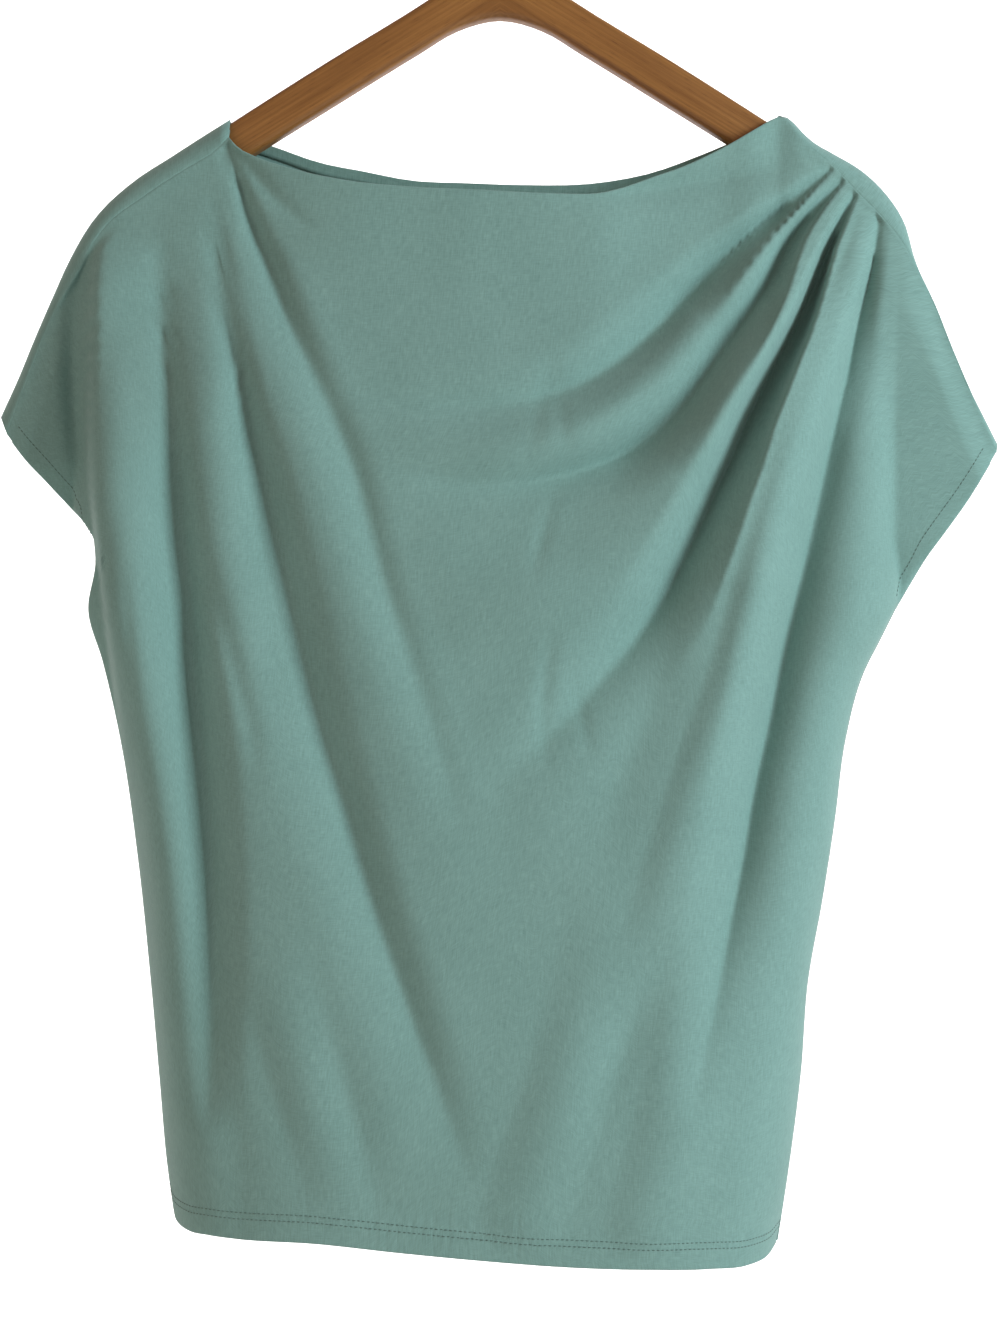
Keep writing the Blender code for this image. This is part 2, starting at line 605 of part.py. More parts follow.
def main():
    for item in list(bpy.data.objects):
        bpy.data.objects.remove(item)
    collection = bpy.data.collections.new(OBJECT_NAME)
    bpy.context.scene.collection.children.link(collection)
    jersey = make_material("sage_jersey", (0.19, 0.33, 0.29), 0.85)
    binding = make_material("sage_binding", (0.16, 0.28, 0.25), 0.85)
    beech = make_material("oiled_beech", (0.30, 0.12, 0.035), 0.45)
    steel = make_material("polished_steel", (0.60, 0.60, 0.60), 0.25, 1.0)
    make_front_panel(jersey, collection)
    make_back_panel(jersey, collection)
    make_back_neck_binding(binding, collection)
    make_hanger_wood(beech, collection)
    make_hanger_hook(steel, collection)


main()
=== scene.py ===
# %% [markdown]
# # A draped jersey t-shirt on a wooden hanger
#
# The object is a women's top in fine sage green jersey. It has a boat neck and cap
# sleeves, and four pleats at one shoulder pull its front into soft swags. It hangs on a
# plain beech hanger. This lesson makes the cloth, its sewing, the hanger and their
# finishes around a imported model, which gives the true sizes and stays where it is.

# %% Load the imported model
import math
from collections import namedtuple

import bpy
import numpy as np
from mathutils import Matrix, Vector, noise


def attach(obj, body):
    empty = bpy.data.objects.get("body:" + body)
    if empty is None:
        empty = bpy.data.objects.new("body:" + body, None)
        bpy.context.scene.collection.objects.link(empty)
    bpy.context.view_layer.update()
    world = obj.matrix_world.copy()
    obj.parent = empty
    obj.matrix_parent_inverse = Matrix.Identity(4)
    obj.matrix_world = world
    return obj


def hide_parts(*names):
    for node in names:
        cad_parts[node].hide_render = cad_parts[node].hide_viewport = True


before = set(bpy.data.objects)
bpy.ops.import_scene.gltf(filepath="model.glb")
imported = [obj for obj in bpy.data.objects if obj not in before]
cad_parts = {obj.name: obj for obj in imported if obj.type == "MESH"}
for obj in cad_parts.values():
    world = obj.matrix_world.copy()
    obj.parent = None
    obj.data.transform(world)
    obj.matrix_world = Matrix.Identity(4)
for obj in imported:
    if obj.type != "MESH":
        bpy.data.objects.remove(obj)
bpy.ops.object.select_all(action="DESELECT")
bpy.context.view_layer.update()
print("packed nodes:", sorted(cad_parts))

# %% [markdown]
# ## Where a measure sits
#
# The cloth is drawn the way a patternmaker draws on a photograph: how far across and how
# far down a point lies, in millimetres on the hanger's own plane, as seen square on from
# one metre away. A fold that comes towards the eye has to slide along its own line of
# sight, or it would look too large, so one small function carries each point to its depth.
# Negative depth is towards the front. The origin is inside the hook, at its top.

# %% Measures to metres
MM = 0.001
VIEW_DISTANCE = 1000.0
EYE_LEVEL = -475.0
DROP_LEVEL = -101.6


def place(across, down, depth):
    """Points in metres from measures in millimetres."""
    nearer = 1 + depth / VIEW_DISTANCE
    height = EYE_LEVEL + (DROP_LEVEL - down - EYE_LEVEL) * nearer
    return np.stack([across * nearer, depth, height], axis=-1) * MM


def ease(value):
    """0 to 1, level at both ends."""
    s = np.clip(value, 0, 1)
    return s * s * (3 - 2 * s)


print("the eye is level with a point", -EYE_LEVEL, "mm below the origin")

# %% [markdown]
# ## The camera
#
# The camera comes first, because every later look is judged through it. The photograph
# was taken square on and at the height of the middle of the cloth, so the camera looks
# straight along +Y. Its lens follows from the height that it has to take in.

# %% Set up the camera
FRAME_HEIGHT = 0.7465
SENSOR = 36.0
RISE = 0.0002

bpy.ops.object.camera_add(location=(0, -VIEW_DISTANCE * MM, EYE_LEVEL * MM + RISE),
                          rotation=(math.pi / 2, 0, 0))
camera = bpy.context.object
camera.name = "front_camera"
camera.data.sensor_width = SENSOR
camera.data.lens = SENSOR * VIEW_DISTANCE * MM / FRAME_HEIGHT
bpy.context.scene.camera = camera
print("lens in mm:", round(camera.data.lens, 2))

# %% [markdown]
# ## Smooth lines
#
# Every edge and fold is a short table of points. A smooth line through them stands for
# the run of real thread and cloth, which has no corners. The tangents allow for rows that
# lie unevenly, so a table can have many rows at a tight bend and few along a straight run.

# %% Lines through tables
def smooth_line(rows, per_span=16):
    """A smooth line through the rows of a table, with any number of columns."""
    points = np.array(rows, dtype=float)
    gaps = np.maximum(np.linalg.norm(np.diff(points[:, :2], axis=0), axis=1), 1e-6)[:, None]
    slopes = np.diff(points, axis=0) / gaps
    inner = (slopes[:-1] * gaps[1:] + slopes[1:] * gaps[:-1]) / (gaps[:-1] + gaps[1:])
    tangents = np.vstack([slopes[:1], inner, slopes[-1:]])
    s = (np.arange(per_span) / per_span)[None, :, None]
    start, end = points[:-1, None], points[1:, None]
    reach = gaps[:, None]
    line = (2 * s**3 - 3 * s**2 + 1) * start + (s**3 - 2 * s**2 + s) * reach * tangents[:-1, None] \
        + (3 * s**2 - 2 * s**3) * end + (s**3 - s**2) * reach * tangents[1:, None]
    return np.vstack([line.reshape(-1, points.shape[1]), points[-1:]])


def running_length(points, axis=0):
    """Length from the first point to each one, of a line or of every line of a net."""
    steps = np.linalg.norm(np.diff(points, axis=axis), axis=-1)
    start = np.zeros_like(steps.take([0], axis))
    return np.concatenate([start, np.cumsum(steps, axis=axis)], axis=axis)


def at_shares(line, shares):
    """Points at the given shares of a line's length."""
    run = running_length(line)
    return np.stack([np.interp(shares * run[-1], run, column) for column in line.T], axis=1)


def join(*lines):
    """Lines end to end, with each shared point kept once."""
    return np.vstack([lines[0]] + [line[1:] for line in lines[1:]])


def distance_to(line, across, down):
    """Distance to a line, share of the way along it, side (its right is +1)."""
    start = line[:-1, :2]
    run = line[1:, :2] - start
    length = np.maximum(np.linalg.norm(run, axis=1), 1e-9)
    offset_x = across[..., None] - start[:, 0]
    offset_d = down[..., None] - start[:, 1]
    share = np.clip((offset_x * run[:, 0] + offset_d * run[:, 1]) / length**2, 0, 1)
    gap_x = offset_x - share * run[:, 0]
    gap_d = offset_d - share * run[:, 1]
    pick = np.argmin(gap_x**2 + gap_d**2, axis=-1)

    def chosen(values):
        return np.take_along_axis(values, pick[..., None], -1)[..., 0]

    before = np.concatenate([[0], np.cumsum(length)])
    along = (before[pick] + chosen(share) * length[pick]) / before[-1]
    turn = run[pick, 0] * chosen(offset_d) - run[pick, 1] * chosen(offset_x)
    return np.linalg.norm([chosen(gap_x), chosen(gap_d)], axis=0), along, -np.sign(turn)


print("a smooth line of 3 rows has", len(smooth_line(((0, 0), (10, 5), (30, 0)))), "points")

# %% [markdown]
# ## The edges of the two panels
#
# The top is cut in two panels with the cap sleeves in one with them. The back panel laps
# over the hanger to seams that lie a little in front of the shoulder crest, so the seams
# show from the front. The tables below follow each edge as it hangs: across, down and, at
# the top, the depth at which the hanger holds it.

# %% Edges of the front panel
LEFT_SEAM = (
    (-276, 243, -9), (-265.5, 215, -9.5), (-256, 190, -9), (-246, 169, -9), (-236, 152, -10),
    (-225, 132, -10), (-216, 122, -10), (-202, 112, -10), (-192, 105, -10),
    (-173, 93, -10), (-161, 86, -10), (-152, 77, -10),
)
FRONT_NECK = (
    (-152, 77, -10), (-148, 82, -12), (-137, 88, -15), (-119, 94, -19), (-87, 101, -23),
    (-46, 105, -25), (-11, 106.5, -26), (30, 108.5, -26), (58, 108, -25), (73, 104, -22),
    (84, 100, -20), (104, 93, -17), (124, 83.5, -14), (147, 70.5, -11), (152, 67.6, -8.5),
    (156, 65.8, -6),
)
RIGHT_SEAM = (
    (156, 65.8, -6), (160.5, 68, -8), (165, 73, -9.5), (172, 81, -10), (187, 94, -10),
    (200, 108, -10), (212, 120, -10), (226, 137, -10), (233, 150, -9), (242, 168, -7),
    (253, 195.4, -7), (265, 223.4, -7), (277.8, 253, -7),
)
FRONT_HEM = (
    (-182.5, 676), (-180.5, 683.5), (-174, 688.5), (-163, 691), (-149, 693), (-103, 696),
    (-57, 701), (-10, 705.5), (36, 709), (82, 710.5), (118, 710), (138, 708), (149, 703),
    (155, 694),
)
print("front neck:", FRONT_NECK[-1][0] - FRONT_NECK[0][0], "mm wide")

# %% Edges that both panels share, and those of the back
LEFT_SLEEVE_HEM = ((-276, 243), (-267, 255), (-254, 269), (-241, 283), (-232, 293), (-227, 301))
RIGHT_SLEEVE_HEM = ((277.8, 253), (264, 276), (250, 296), (239, 311), (228, 329), (221, 341))
LEFT_SIDE = (
    (-227, 301), (-226, 314), (-230, 342), (-222, 370), (-212, 414), (-202, 482),
    (-195, 549), (-190, 605), (-186, 650), (-182.5, 676),
)
RIGHT_SIDE = (
    (221, 341), (213, 357), (203, 377), (193, 414), (187, 459), (180, 504), (172, 549),
    (168, 600), (161, 655), (155, 694),
)
LEFT_CREST = (
    (-279, 234, 0), (-269, 212, 0), (-260, 190, 0), (-250, 167, 0), (-240, 145, 0),
    (-226, 122, 0), (-202, 100, 0), (-184, 88.5, 0), (-167, 77.5, 0), (-151, 67.5, 0),
)
BACK_NECK = (
    (-151, 67.5, 0), (-150.5, 69, 6), (-149, 73, 9.5), (-141, 77, 11), (-124, 83, 13),
    (-101, 91, 15), (-76, 96, 17), (-50, 101, 18), (-18, 102.5, 19), (11, 103.5, 19),
    (54, 102.5, 18), (84, 97, 16), (112, 87, 13), (138, 76, 11), (150, 71, 9.5),
    (154.5, 66.8, 6), (156, 65.2, 0),
)
RIGHT_CREST = (
    (156, 65.2, 0), (159.5, 65.8, 0), (163.5, 68.6, 0), (168, 73.5, 0), (175, 80, 0),
    (187, 87, 0), (202, 96, 0), (213, 106, 0),
    (225, 123, 0), (232, 146, 0), (241, 168, 0), (250, 190, 0), (260, 213, 0),
    (271, 235, 0), (278, 249, 0),
)
BACK_HEM = ((-182.5, 676), (-174, 679), (-150, 677), (-90, 675), (0, 677), (85, 683), (130, 690),
            (148, 695), (155, 694))
print("sleeve tip to sleeve tip:", RIGHT_SEAM[-1][0] - LEFT_SEAM[0][0], "mm")

# %% [markdown]
# ## How the body of the top stands out
#
# Nobody wears the top, so it hangs flatter than on a person: a soft oval at the hem that
# closes towards the shoulders, where the hanger holds it, and two nearly flat sleeves.
# Sections at a few heights say where its sides are and how far the front and the back
# stand out. Cloth leaves its top edge at the hanger's depth and settles to that form.

# %% Sections of the body
Section = namedtuple("Section", "down left right front back")
BODY_SECTIONS = (
    Section(60, -234, 222, 14, 10),
    Section(120, -236, 222, 24, 18),
    Section(200, -238, 222, 40, 27),
    Section(300, -238, 222, 50, 33),
    Section(342, -236, 221, 52, 35),
    Section(377, -225, 203, 53, 36),
    Section(414, -215, 193, 54, 37),
    Section(482, -202, 184, 56, 39),
    Section(549, -195, 172, 58, 41),
    Section(605, -190, 167, 60, 42),
    Section(655, -186, 161, 62, 43),
    Section(712, -181, 151, 63, 43),
)
SIDE_ROUNDNESS = 4.6
SETTLE_REACH = 150.0
SLEEVE_DEPTH = 12.0
SLEEVE_CLOSE = 45.0
SLEEVE_SETTLE = 40.0
SLEEVE_BREAK_SOFTNESS = 6.0
LEFT_UNDERARM = LEFT_SLEEVE_HEM[-1][1]
RIGHT_UNDERARM = RIGHT_SLEEVE_HEM[-1][1]


def body_section(down):
    """Left and right limits and standing out of the body at each height."""
    table = smooth_line([row[:1] + (0,) + row[1:] for row in BODY_SECTIONS])
    return [np.interp(down, table[:, 0], table[:, column]) for column in range(2, 6)]


def body_curve(across, left, right):
    """1 at the middle of the body and 0 at its sides, which it meets square on."""
    offset = np.clip(np.abs((2 * across - left - right) / (right - left)), 0, 1)
    return np.sqrt(np.clip(1 - offset**SIDE_ROUNDNESS, 0, 1)), offset


def blend_low(first, second, softness):
    """The lower of two values, with the step between them rounded."""
    share = np.clip(0.5 + 0.5 * (second - first) / np.maximum(softness, 1e-6), 0, 1)
    return second + (first - second) * share - softness * share * (1 - share)


def underarm_at(across):
    return np.where(across < 0, LEFT_UNDERARM, RIGHT_UNDERARM)


def hung_depth(across, down, top_depth, stand_out, offset_curve, fall):
    """Depth of cloth that leaves its top edge and settles to the body's form."""
    settle = ease(fall / SETTLE_REACH)
    body = top_depth * (1 - settle) + stand_out * offset_curve * settle
    close = ease((underarm_at(across) - down) / SLEEVE_CLOSE)
    sleeve_settle = ease(fall / SLEEVE_SETTLE)
    facing = np.sign(stand_out)
    sleeve = top_depth * (1 - sleeve_settle) + facing * SLEEVE_DEPTH * close * sleeve_settle
    softness = SLEEVE_BREAK_SOFTNESS * sleeve_settle
    return -facing * blend_low(-facing * body, -facing * sleeve, softness)


print("at 400 mm down the body is",
      [round(float(value)) for value in body_section(np.array(400.0))], "left, right, front, back")

# %% [markdown]
# ## Folds
#
# Folds could come from a cloth simulation, but a simulation never lands on the folds of
# one photograph. Here each fold is placed one by one, as a dressmaker would describe it: its
# path, how deep it is along the way, how far its slopes reach to the left and to the right,
# how round its bottom is, and over what share of its way it opens. A positive depth is a
# crease pressed in, with a narrow bottom. A negative depth is a roll that stands out, with
# a broad top. The pleats start narrow at the shoulder seam, where they are sewn, and open
# as they fall. Three of them are knife pleats: their right wall stands steep at the seam.

# %% Folds of the front
Fold = namedtuple("Fold", "name path depths left right soft opens knife", defaults=(0, 0, 0))
FRONT_FOLDS = (
    Fold("underarm_tuck", ((-232, 132), (-237, 160), (-240, 200), (-238, 238), (-232, 272),
         (-229, 292)), (0, 4, 6, 6, 3, 0), 9, 8, 1.5),
    Fold("left_side_roll", ((-218, 116), (-225, 150), (-227, 200), (-227, 262), (-220, 330),
         (-211, 400), (-198, 500), (-190, 600), (-185, 680)),
         (0, -15, -23, -25, -22, -18, -14, -11, -8), 4, 44),
    Fold("side_line", ((-212, 310), (-208, 352), (-204, 396)), (0, 1, 0), 4, 5, 1),
    Fold("left_outer", ((-193, 108), (-191, 130), (-189, 165), (-186, 195), (-182, 225),
         (-180, 255), (-178, 285), (-175, 315), (-172, 362), (-168, 408), (-164, 450), (-161, 490),
         (-160, 540), (-162, 595), (-166, 645)),
         (0, 3, 6, 10, 12, 14, 14, 14, 12, 8, 0), 36, 20, 2, 0.6),
    Fold("left_outer_twin", ((-166, 305), (-160, 332), (-153, 358), (-146, 385), (-139, 412),
         (-135, 440)), (0, 2.5, 2.5, 1.5, 0), 7, 12, 1),
    Fold("left_middle_roll", ((-172, 120), (-165, 200), (-158, 290), (-146, 400), (-130, 500)),
         (0, -3, -4, -3, -2, 0), 24, 26),
    Fold("left_inner", ((-159, 90), (-158, 115), (-157, 140), (-153, 172), (-146, 205), (-140, 235),
         (-133, 262), (-127, 290), (-118, 330), (-107, 378), (-97, 415), (-86, 450), (-76, 485),
         (-67, 515), (-57, 545), (-46, 578), (-35, 608), (-25, 638), (-12, 675)),
         (0, 4, 9, 11, 12, 12, 12, 11, 10, 8, 6, 3, 0), 36, 21, 2, 0.45),
    Fold("left_inner_roll", ((-138, 130), (-118, 216), (-92, 300), (-62, 390), (-34, 470),
         (-8, 560)), (0, -3, -4, -4, -3, -1, 0), 28, 40),
    Fold("left_neck", ((-152, 80), (-146, 100), (-138, 125), (-128, 150), (-118, 178), (-106, 205),
         (-94, 232), (-82, 262), (-73, 295), (-66, 322), (-54, 358), (-40, 400), (-28, 440),
         (-18, 478)), (4, 7, 8, 8, 7, 6, 6, 5, 4, 3, 2, 1, 0), 24, 16, 1.5, 0.3),
    Fold("left_neck_twin", ((-150, 82), (-138, 97), (-126, 111), (-114, 122), (-101, 132)),
         (1, 2.5, 2, 1, 0), 8, 10, 1, 0.3),
    Fold("neck_dip", ((24, 110), (60, 109), (90, 105.5), (116, 102), (140, 98), (156, 93.5),
         (172, 89)), (0, 2, 4, 5, 4, 2, 0), 16, 18, 2),
    Fold("first_pleat", ((187, 94), (180, 99), (172, 105), (162, 113), (150, 122), (140, 131),
         (130, 140), (120, 150), (110, 161), (100, 171), (90, 182), (78, 193), (64, 204), (46, 215),
         (24, 223), (-4, 228), (-36, 228), (-70, 222), (-100, 212)),
         (3, 9, 13, 16, 17, 15, 12, 9, 6, 4, 2, 1, 0), 26, 26, 1.5, 0.45, 1),
    Fold("second_pleat", ((194, 100), (185, 108), (175, 118), (165, 130), (157, 144), (150, 158),
         (142, 171), (133, 184), (124, 196), (114, 211), (103, 226), (90, 239), (74, 251),
         (52, 261), (22, 269), (-14, 271), (-52, 264), (-84, 252)),
         (3, 11, 18, 22, 22, 20, 17, 13, 8, 4, 1, 0), 28, 26, 1.5, 0.45, 1),
    Fold("third_pleat", ((200.5, 107.5), (196, 115), (190, 126), (184, 138), (176, 158), (168, 177),
         (158, 197), (147, 218), (139, 234), (130, 255), (122, 272), (114, 290), (103, 313),
         (91, 336), (76, 357), (58, 379), (38, 402), (10, 430), (-16, 452)),
         (4, 15, 25, 31, 32, 30, 27, 22, 16, 10, 6, 2, 0), 30, 34, 1.5, 0.8, 1),
    Fold("third_tail", ((104, 330), (94, 365), (83, 398), (70, 430), (60, 462), (56, 500)),
         (0, 3, 5, 4, 2, 0), 36, 34, 8),
    Fold("pleat_swell", ((186, 104), (170, 150), (150, 200), (128, 260), (108, 330)),
         (-1, -8, -12, -9, 0), 60, 44),
    Fold("shoulder_roll", ((206, 112), (198, 150), (188, 190), (174, 235), (162, 280), (148, 330),
         (134, 380), (116, 430), (100, 480), (84, 530), (60, 585)),
         (0, -3, -5, -6, -6, -5, -4, -3, -1, 0), 20, 22, 0, 0.2),
    Fold("fourth_pleat", ((212, 119), (211, 132), (208, 150), (203, 170), (198, 190), (194, 210),
         (189, 230), (184.5, 250), (178, 280), (169.5, 320), (160, 360), (152, 400), (143, 440),
         (136, 480), (128, 520), (121, 560), (113, 600), (106, 640)),
         (2, 9, 15, 19, 22, 24, 24, 22, 18, 12, 6, 0), 28, 38, 1.5, 0.4),
    Fold("fourth_mouth", ((212.5, 118), (211, 132), (208, 150)), (1.5, 2, 0), 3, 3, 0.5),
    Fold("chest_roll", ((120, 176), (84, 215), (46, 240), (0, 252), (-48, 246), (-90, 228)),
         (0, -5, -6, -5, -3, -1, 0), 26, 30),
    Fold("belly_roll", ((108, 266), (76, 304), (30, 330), (-20, 330), (-56, 300)),
         (0, -4, -5, -3, 0), 36, 40),
    Fold("low_right", ((104, 525), (72, 580), (44, 640)), (0, 2, 4, 2, 0), 30, 30, 6),
    Fold("low_right_roll", ((128, 500), (108, 600), (84, 685)), (0, -2, -4, -3), 28, 28),
    Fold("low_middle_roll", ((66, 500), (44, 590), (14, 680)), (0, -2, -4, -3), 28, 28),
    Fold("low_left", ((-112, 520), (-90, 600), (-70, 670)), (0, 1, 2, 1), 22, 22, 4),
    Fold("low_left_twin", ((-150, 530), (-130, 600), (-110, 660)), (0, 1, 1.4, 0.6), 18, 20, 4),
    Fold("low_left_roll", ((-128, 520), (-108, 600), (-88, 670)), (0, -1, -2, -1), 24, 24),
)
print(len(FRONT_FOLDS), "folds in the front")

# %% Folds of the back
BACK_FOLDS = (
    Fold("back_left_outer", ((-198, 125), (-186, 230), (-176, 340), (-170, 470), (-168, 630)),
         (0, -10, -12, -9, -5), 34, 44, 4, 0.2),
    Fold("back_left_inner", ((-162, 95), (-142, 200), (-118, 330), (-96, 470), (-80, 650)),
         (0, -9, -12, -10, -6), 40, 48, 5, 0.2),
    Fold("back_left_neck", ((-140, 84), (-112, 150), (-84, 230), (-48, 330)),
         (-2, -8, -5, 0), 28, 36, 4, 0.3),
    Fold("back_right_neck", ((148, 82), (116, 150), (84, 230), (44, 320)),
         (-2, -7, -5, 0), 32, 32, 4, 0.3),
    Fold("back_right_inner", ((170, 90), (150, 200), (122, 330), (92, 470), (70, 650)),
         (0, -9, -12, -10, -6), 44, 40, 5, 0.2),
    Fold("back_right_outer", ((206, 115), (192, 230), (172, 360), (150, 500), (136, 650)),
         (0, -9, -12, -9, -5), 40, 36, 4, 0.2),
    Fold("back_low_middle", ((-8, 440), (-4, 560), (4, 670)), (0, -5, -5), 48, 48, 8),
)
print(len(BACK_FOLDS), "folds in the back")

# %% [markdown]
# ## What a fold does to the cloth
#
# A fold moves the cloth in or out. Across a crease the depth falls off by a curve that is
# steep at the bottom and flat at its edges, so the valley reads as a crisp line. Across a
# roll it is the other way round. The right wall of a knife pleat stays high until close to
# its edge and drops there, as cloth does that was folded over and pressed. A fold fades to
# nothing where its table starts or ends at zero, and a smooth line through the depths
# keeps that free of hard steps.

# %% Depth of the folds
NARROW_START = 0.2
FADE_SHARE = 0.05
KNIFE_START = 0.03
KNIFE_POWER = 3


def depth_along(fold, along):
    """The fold's depth at each share of its path, without corners."""
    shares = np.linspace(0, 1, len(fold.depths)) * 100
    line = smooth_line(np.column_stack([shares, fold.depths]))
    depth = np.interp(along * 100, line[:, 0], line[:, 1])
    if fold.depths[0] == 0:
        depth = depth * ease(along / FADE_SHARE)
    if fold.depths[-1] == 0:
        depth = depth * ease((1 - along) / FADE_SHARE)
    return depth


def opened(fold, along):
    """How far the fold has opened to its full reach."""
    if not fold.opens:
        return 1.0
    return NARROW_START + (1 - NARROW_START) * ease(along / fold.opens)


def right_opened(fold, along):
    """The same on the right side, where a knife pleat opens evenly from a sharp point."""
    if not fold.knife:
        return opened(fold, along)
    return KNIFE_START + (1 - KNIFE_START) * np.clip(along / fold.opens, 0, 1)


def near(fold, across, down):
    """Which points a fold can reach at all."""
    path = np.array(fold.path)
    reach = max(fold.left, fold.right)
    low, high = path.min(axis=0) - reach, path.max(axis=0) + reach
    return (across > low[0]) & (across < high[0]) & (down > low[1]) & (down < high[1])


def fold_depths(folds, across, down):
    """How far all folds together move each point in."""
    total = np.zeros_like(across)
    for fold in folds:
        inside = near(fold, across, down)
        gap, along, side = distance_to(smooth_line(fold.path), across[inside], down[inside])
        reach = np.where(side < 0, fold.left * opened(fold, along),
                         fold.right * right_opened(fold, along))
        depth = depth_along(fold, along)
        if fold.soft:
            soft = fold.soft * right_opened(fold, along)
            share = np.clip((np.hypot(gap, soft) - soft) / reach, 0, 1)
            sloped = (1 - share) ** 2
            if fold.knife:
                folded_over = fold.knife * (side > 0) * (1 - ease(along / fold.opens))
                sloped += folded_over * (1 - share**KNIFE_POWER - sloped)
            total[inside] += depth * sloped
        else:
            share = np.clip(gap / reach, 0, 1)
            total[inside] += depth * (1 - share**2) ** 2
    return total


print("pleats that open from the seam:", [fold.name for fold in FRONT_FOLDS if fold.opens])

# %% [markdown]
# ## Depth of the whole front and back
#
# The full depth at a point is the hung form, plus the folds, kept clear of the hanger's
# face. Folds fade out at the side seams, where the two panels are sewn flat together, and
# at the very ends of the neck. A faint unevenness runs down the cloth as well, because
# hung jersey is never perfectly even between its folds.

# %% Front and back depths
CREST_DROP = 11.0
CREST_HALF = 9.5
CLEAR_OF_FACE = 1.2
SEAM_HOLD = 12.0
CREASE_HOLD = 3.0
SIDE_HOLD_POWER = 28
SIDE_HOLD_START = -25.0
SIDE_HOLD_REACH = 50.0
NECK_END_FREE = 8.0
WOOD_EASE = 3.0
WOOD_FACE_END = 14.0
WOOD_SLOPE = 0.61
WOOD_REACH = 222.0
UNEVEN = 0.5
UNEVEN_ACROSS = 34.0
UNEVEN_DOWN = 120.0
FRONT_SEED = 3.0
BACK_SEED = 9.0


def side_hold(offset, across, down):
    """Folds fade out at the side seams, below the underarms."""
    under = ease((down - underarm_at(across) - SIDE_HOLD_START) / SIDE_HOLD_REACH)
    return 1 - under * np.clip(offset, 0, 1) ** SIDE_HOLD_POWER


def seam_hold(across, fall, reach):
    """Folds start at the shoulder seams, where the panels lie flat on each other."""
    inside_neck = np.minimum(across - FRONT_NECK[0][0], FRONT_NECK[-1][0] - across)
    held = 1 - ease(inside_neck / NECK_END_FREE)
    return 1 - held * (1 - ease(fall / reach))


def clear_of_wood(across, down, depth, facing):
    """Cloth that hangs in front of the hanger stays off its face."""
    below_arm = down - (WOOD_FACE_END + WOOD_SLOPE * np.abs(across))
    beyond = np.maximum(np.maximum(below_arm, np.abs(across) - WOOD_REACH), 0)
    limit = -CREST_HALF + CLEAR_OF_FACE + beyond
    return facing * -blend_low(facing * -depth, limit, WOOD_EASE)


def unevenness(across, down, seed):
    """A faint waviness, longer down the cloth than across it."""
    spots = zip(across.ravel() / UNEVEN_ACROSS, down.ravel() / UNEVEN_DOWN)
    values = [noise.noise(Vector((x, d, seed))) for x, d in spots]
    return UNEVEN * np.array(values).reshape(across.shape)


def front_depth(across, down):
    """Depth of the front panel's inner face at each point."""
    top_line = join(smooth_line(LEFT_SEAM), smooth_line(FRONT_NECK), smooth_line(RIGHT_SEAM))
    top_down, top_depth = [np.interp(across, top_line[:, 0], top_line[:, column])
                           for column in (1, 2)]
    fall = np.maximum(down - top_down, 0)
    left, right, front, _ = body_section(down)
    curve, offset = body_curve(across, left, right)
    depth = hung_depth(across, down, top_depth, -front, curve, fall)
    creases = fold_depths([fold for fold in FRONT_FOLDS if fold.soft], across, down)
    rolls = fold_depths([fold for fold in FRONT_FOLDS if not fold.soft], across, down)
    creases = creases * seam_hold(across, fall, CREASE_HOLD)
    rolls = (rolls + unevenness(across, down, FRONT_SEED)) * seam_hold(across, fall, SEAM_HOLD)
    depth = depth + (creases + rolls) * side_hold(offset, across, down)
    return clear_of_wood(across, down, depth, facing=-1)


def back_depth(across, down):
    """Depth of the back panel's inner face, from the shoulder crests down."""
    top_line = join(smooth_line(LEFT_CREST), smooth_line(BACK_NECK), smooth_line(RIGHT_CREST))
    top_depth = np.interp(across, top_line[:, 0], top_line[:, 2])
    fall = distance_to(top_line, across, down)[0]
    turn = np.clip(fall / CREST_DROP, 0, 1)
    over = np.sqrt(1 - (1 - turn) ** 2)
    top_depth = top_depth + (np.maximum(top_depth, CREST_HALF) - top_depth) * over
    left, right, _, back = body_section(down)
    curve, offset = body_curve(across, left, right)
    depth = hung_depth(across, down, top_depth, back, curve, fall)
    hold = ease((fall - CREST_DROP * 0.5) / (2 * SEAM_HOLD)) * side_hold(offset, across, down)
    folds = fold_depths(BACK_FOLDS, across, down) + unevenness(across, down, BACK_SEED)
    return depth + folds * hold


middle = np.array([0.0])
print("front at the chest:", round(float(front_depth(middle, np.array([250.0]))[0]), 1), "mm")

# %% [markdown]
# ## Rows and columns of a panel
#
# A panel is a net of rows and columns between its four edges. The net is close where the
# form changes fast: near the pleats at the top, round the sides, and at the hem. Near a
# side the cloth turns away from the eye, so the columns there crowd together by the
# square of their number, which spaces them evenly round the turn. The two side edges are
# brought to one seam line from just above the underarms down, and stay a hair's breadth
# apart there, so that the panels don't cut into each other.

# %% The net of a panel
UNDERARM_SHARE = 0.225
EDGE_INFLUENCE = 1.3
SIDE_GAP = 0.2
CLOSING_SHARE = 0.08


def close_at_ends(columns, crowded):
    """Shares of the width, with the given number of columns crowded at each side."""
    step = 1 / (columns - crowded)
    near_side = step / (2 * crowded) * np.arange(crowded + 1) ** 2
    middle_part = near_side[-1] + step * np.arange(1, columns - 2 * crowded)
    return np.concatenate([near_side, middle_part, 1 - near_side[::-1]])


def row_shares(rows, stops):
    """Shares of the drop, from stops that give the spacing wanted at each share."""
    fine = np.linspace(0, 1, 4001)
    count = np.concatenate([[0], np.cumsum(1 / np.interp(fine[1:], *zip(*stops)))])
    return np.interp(np.linspace(0, count[-1], rows + 1), count, fine)


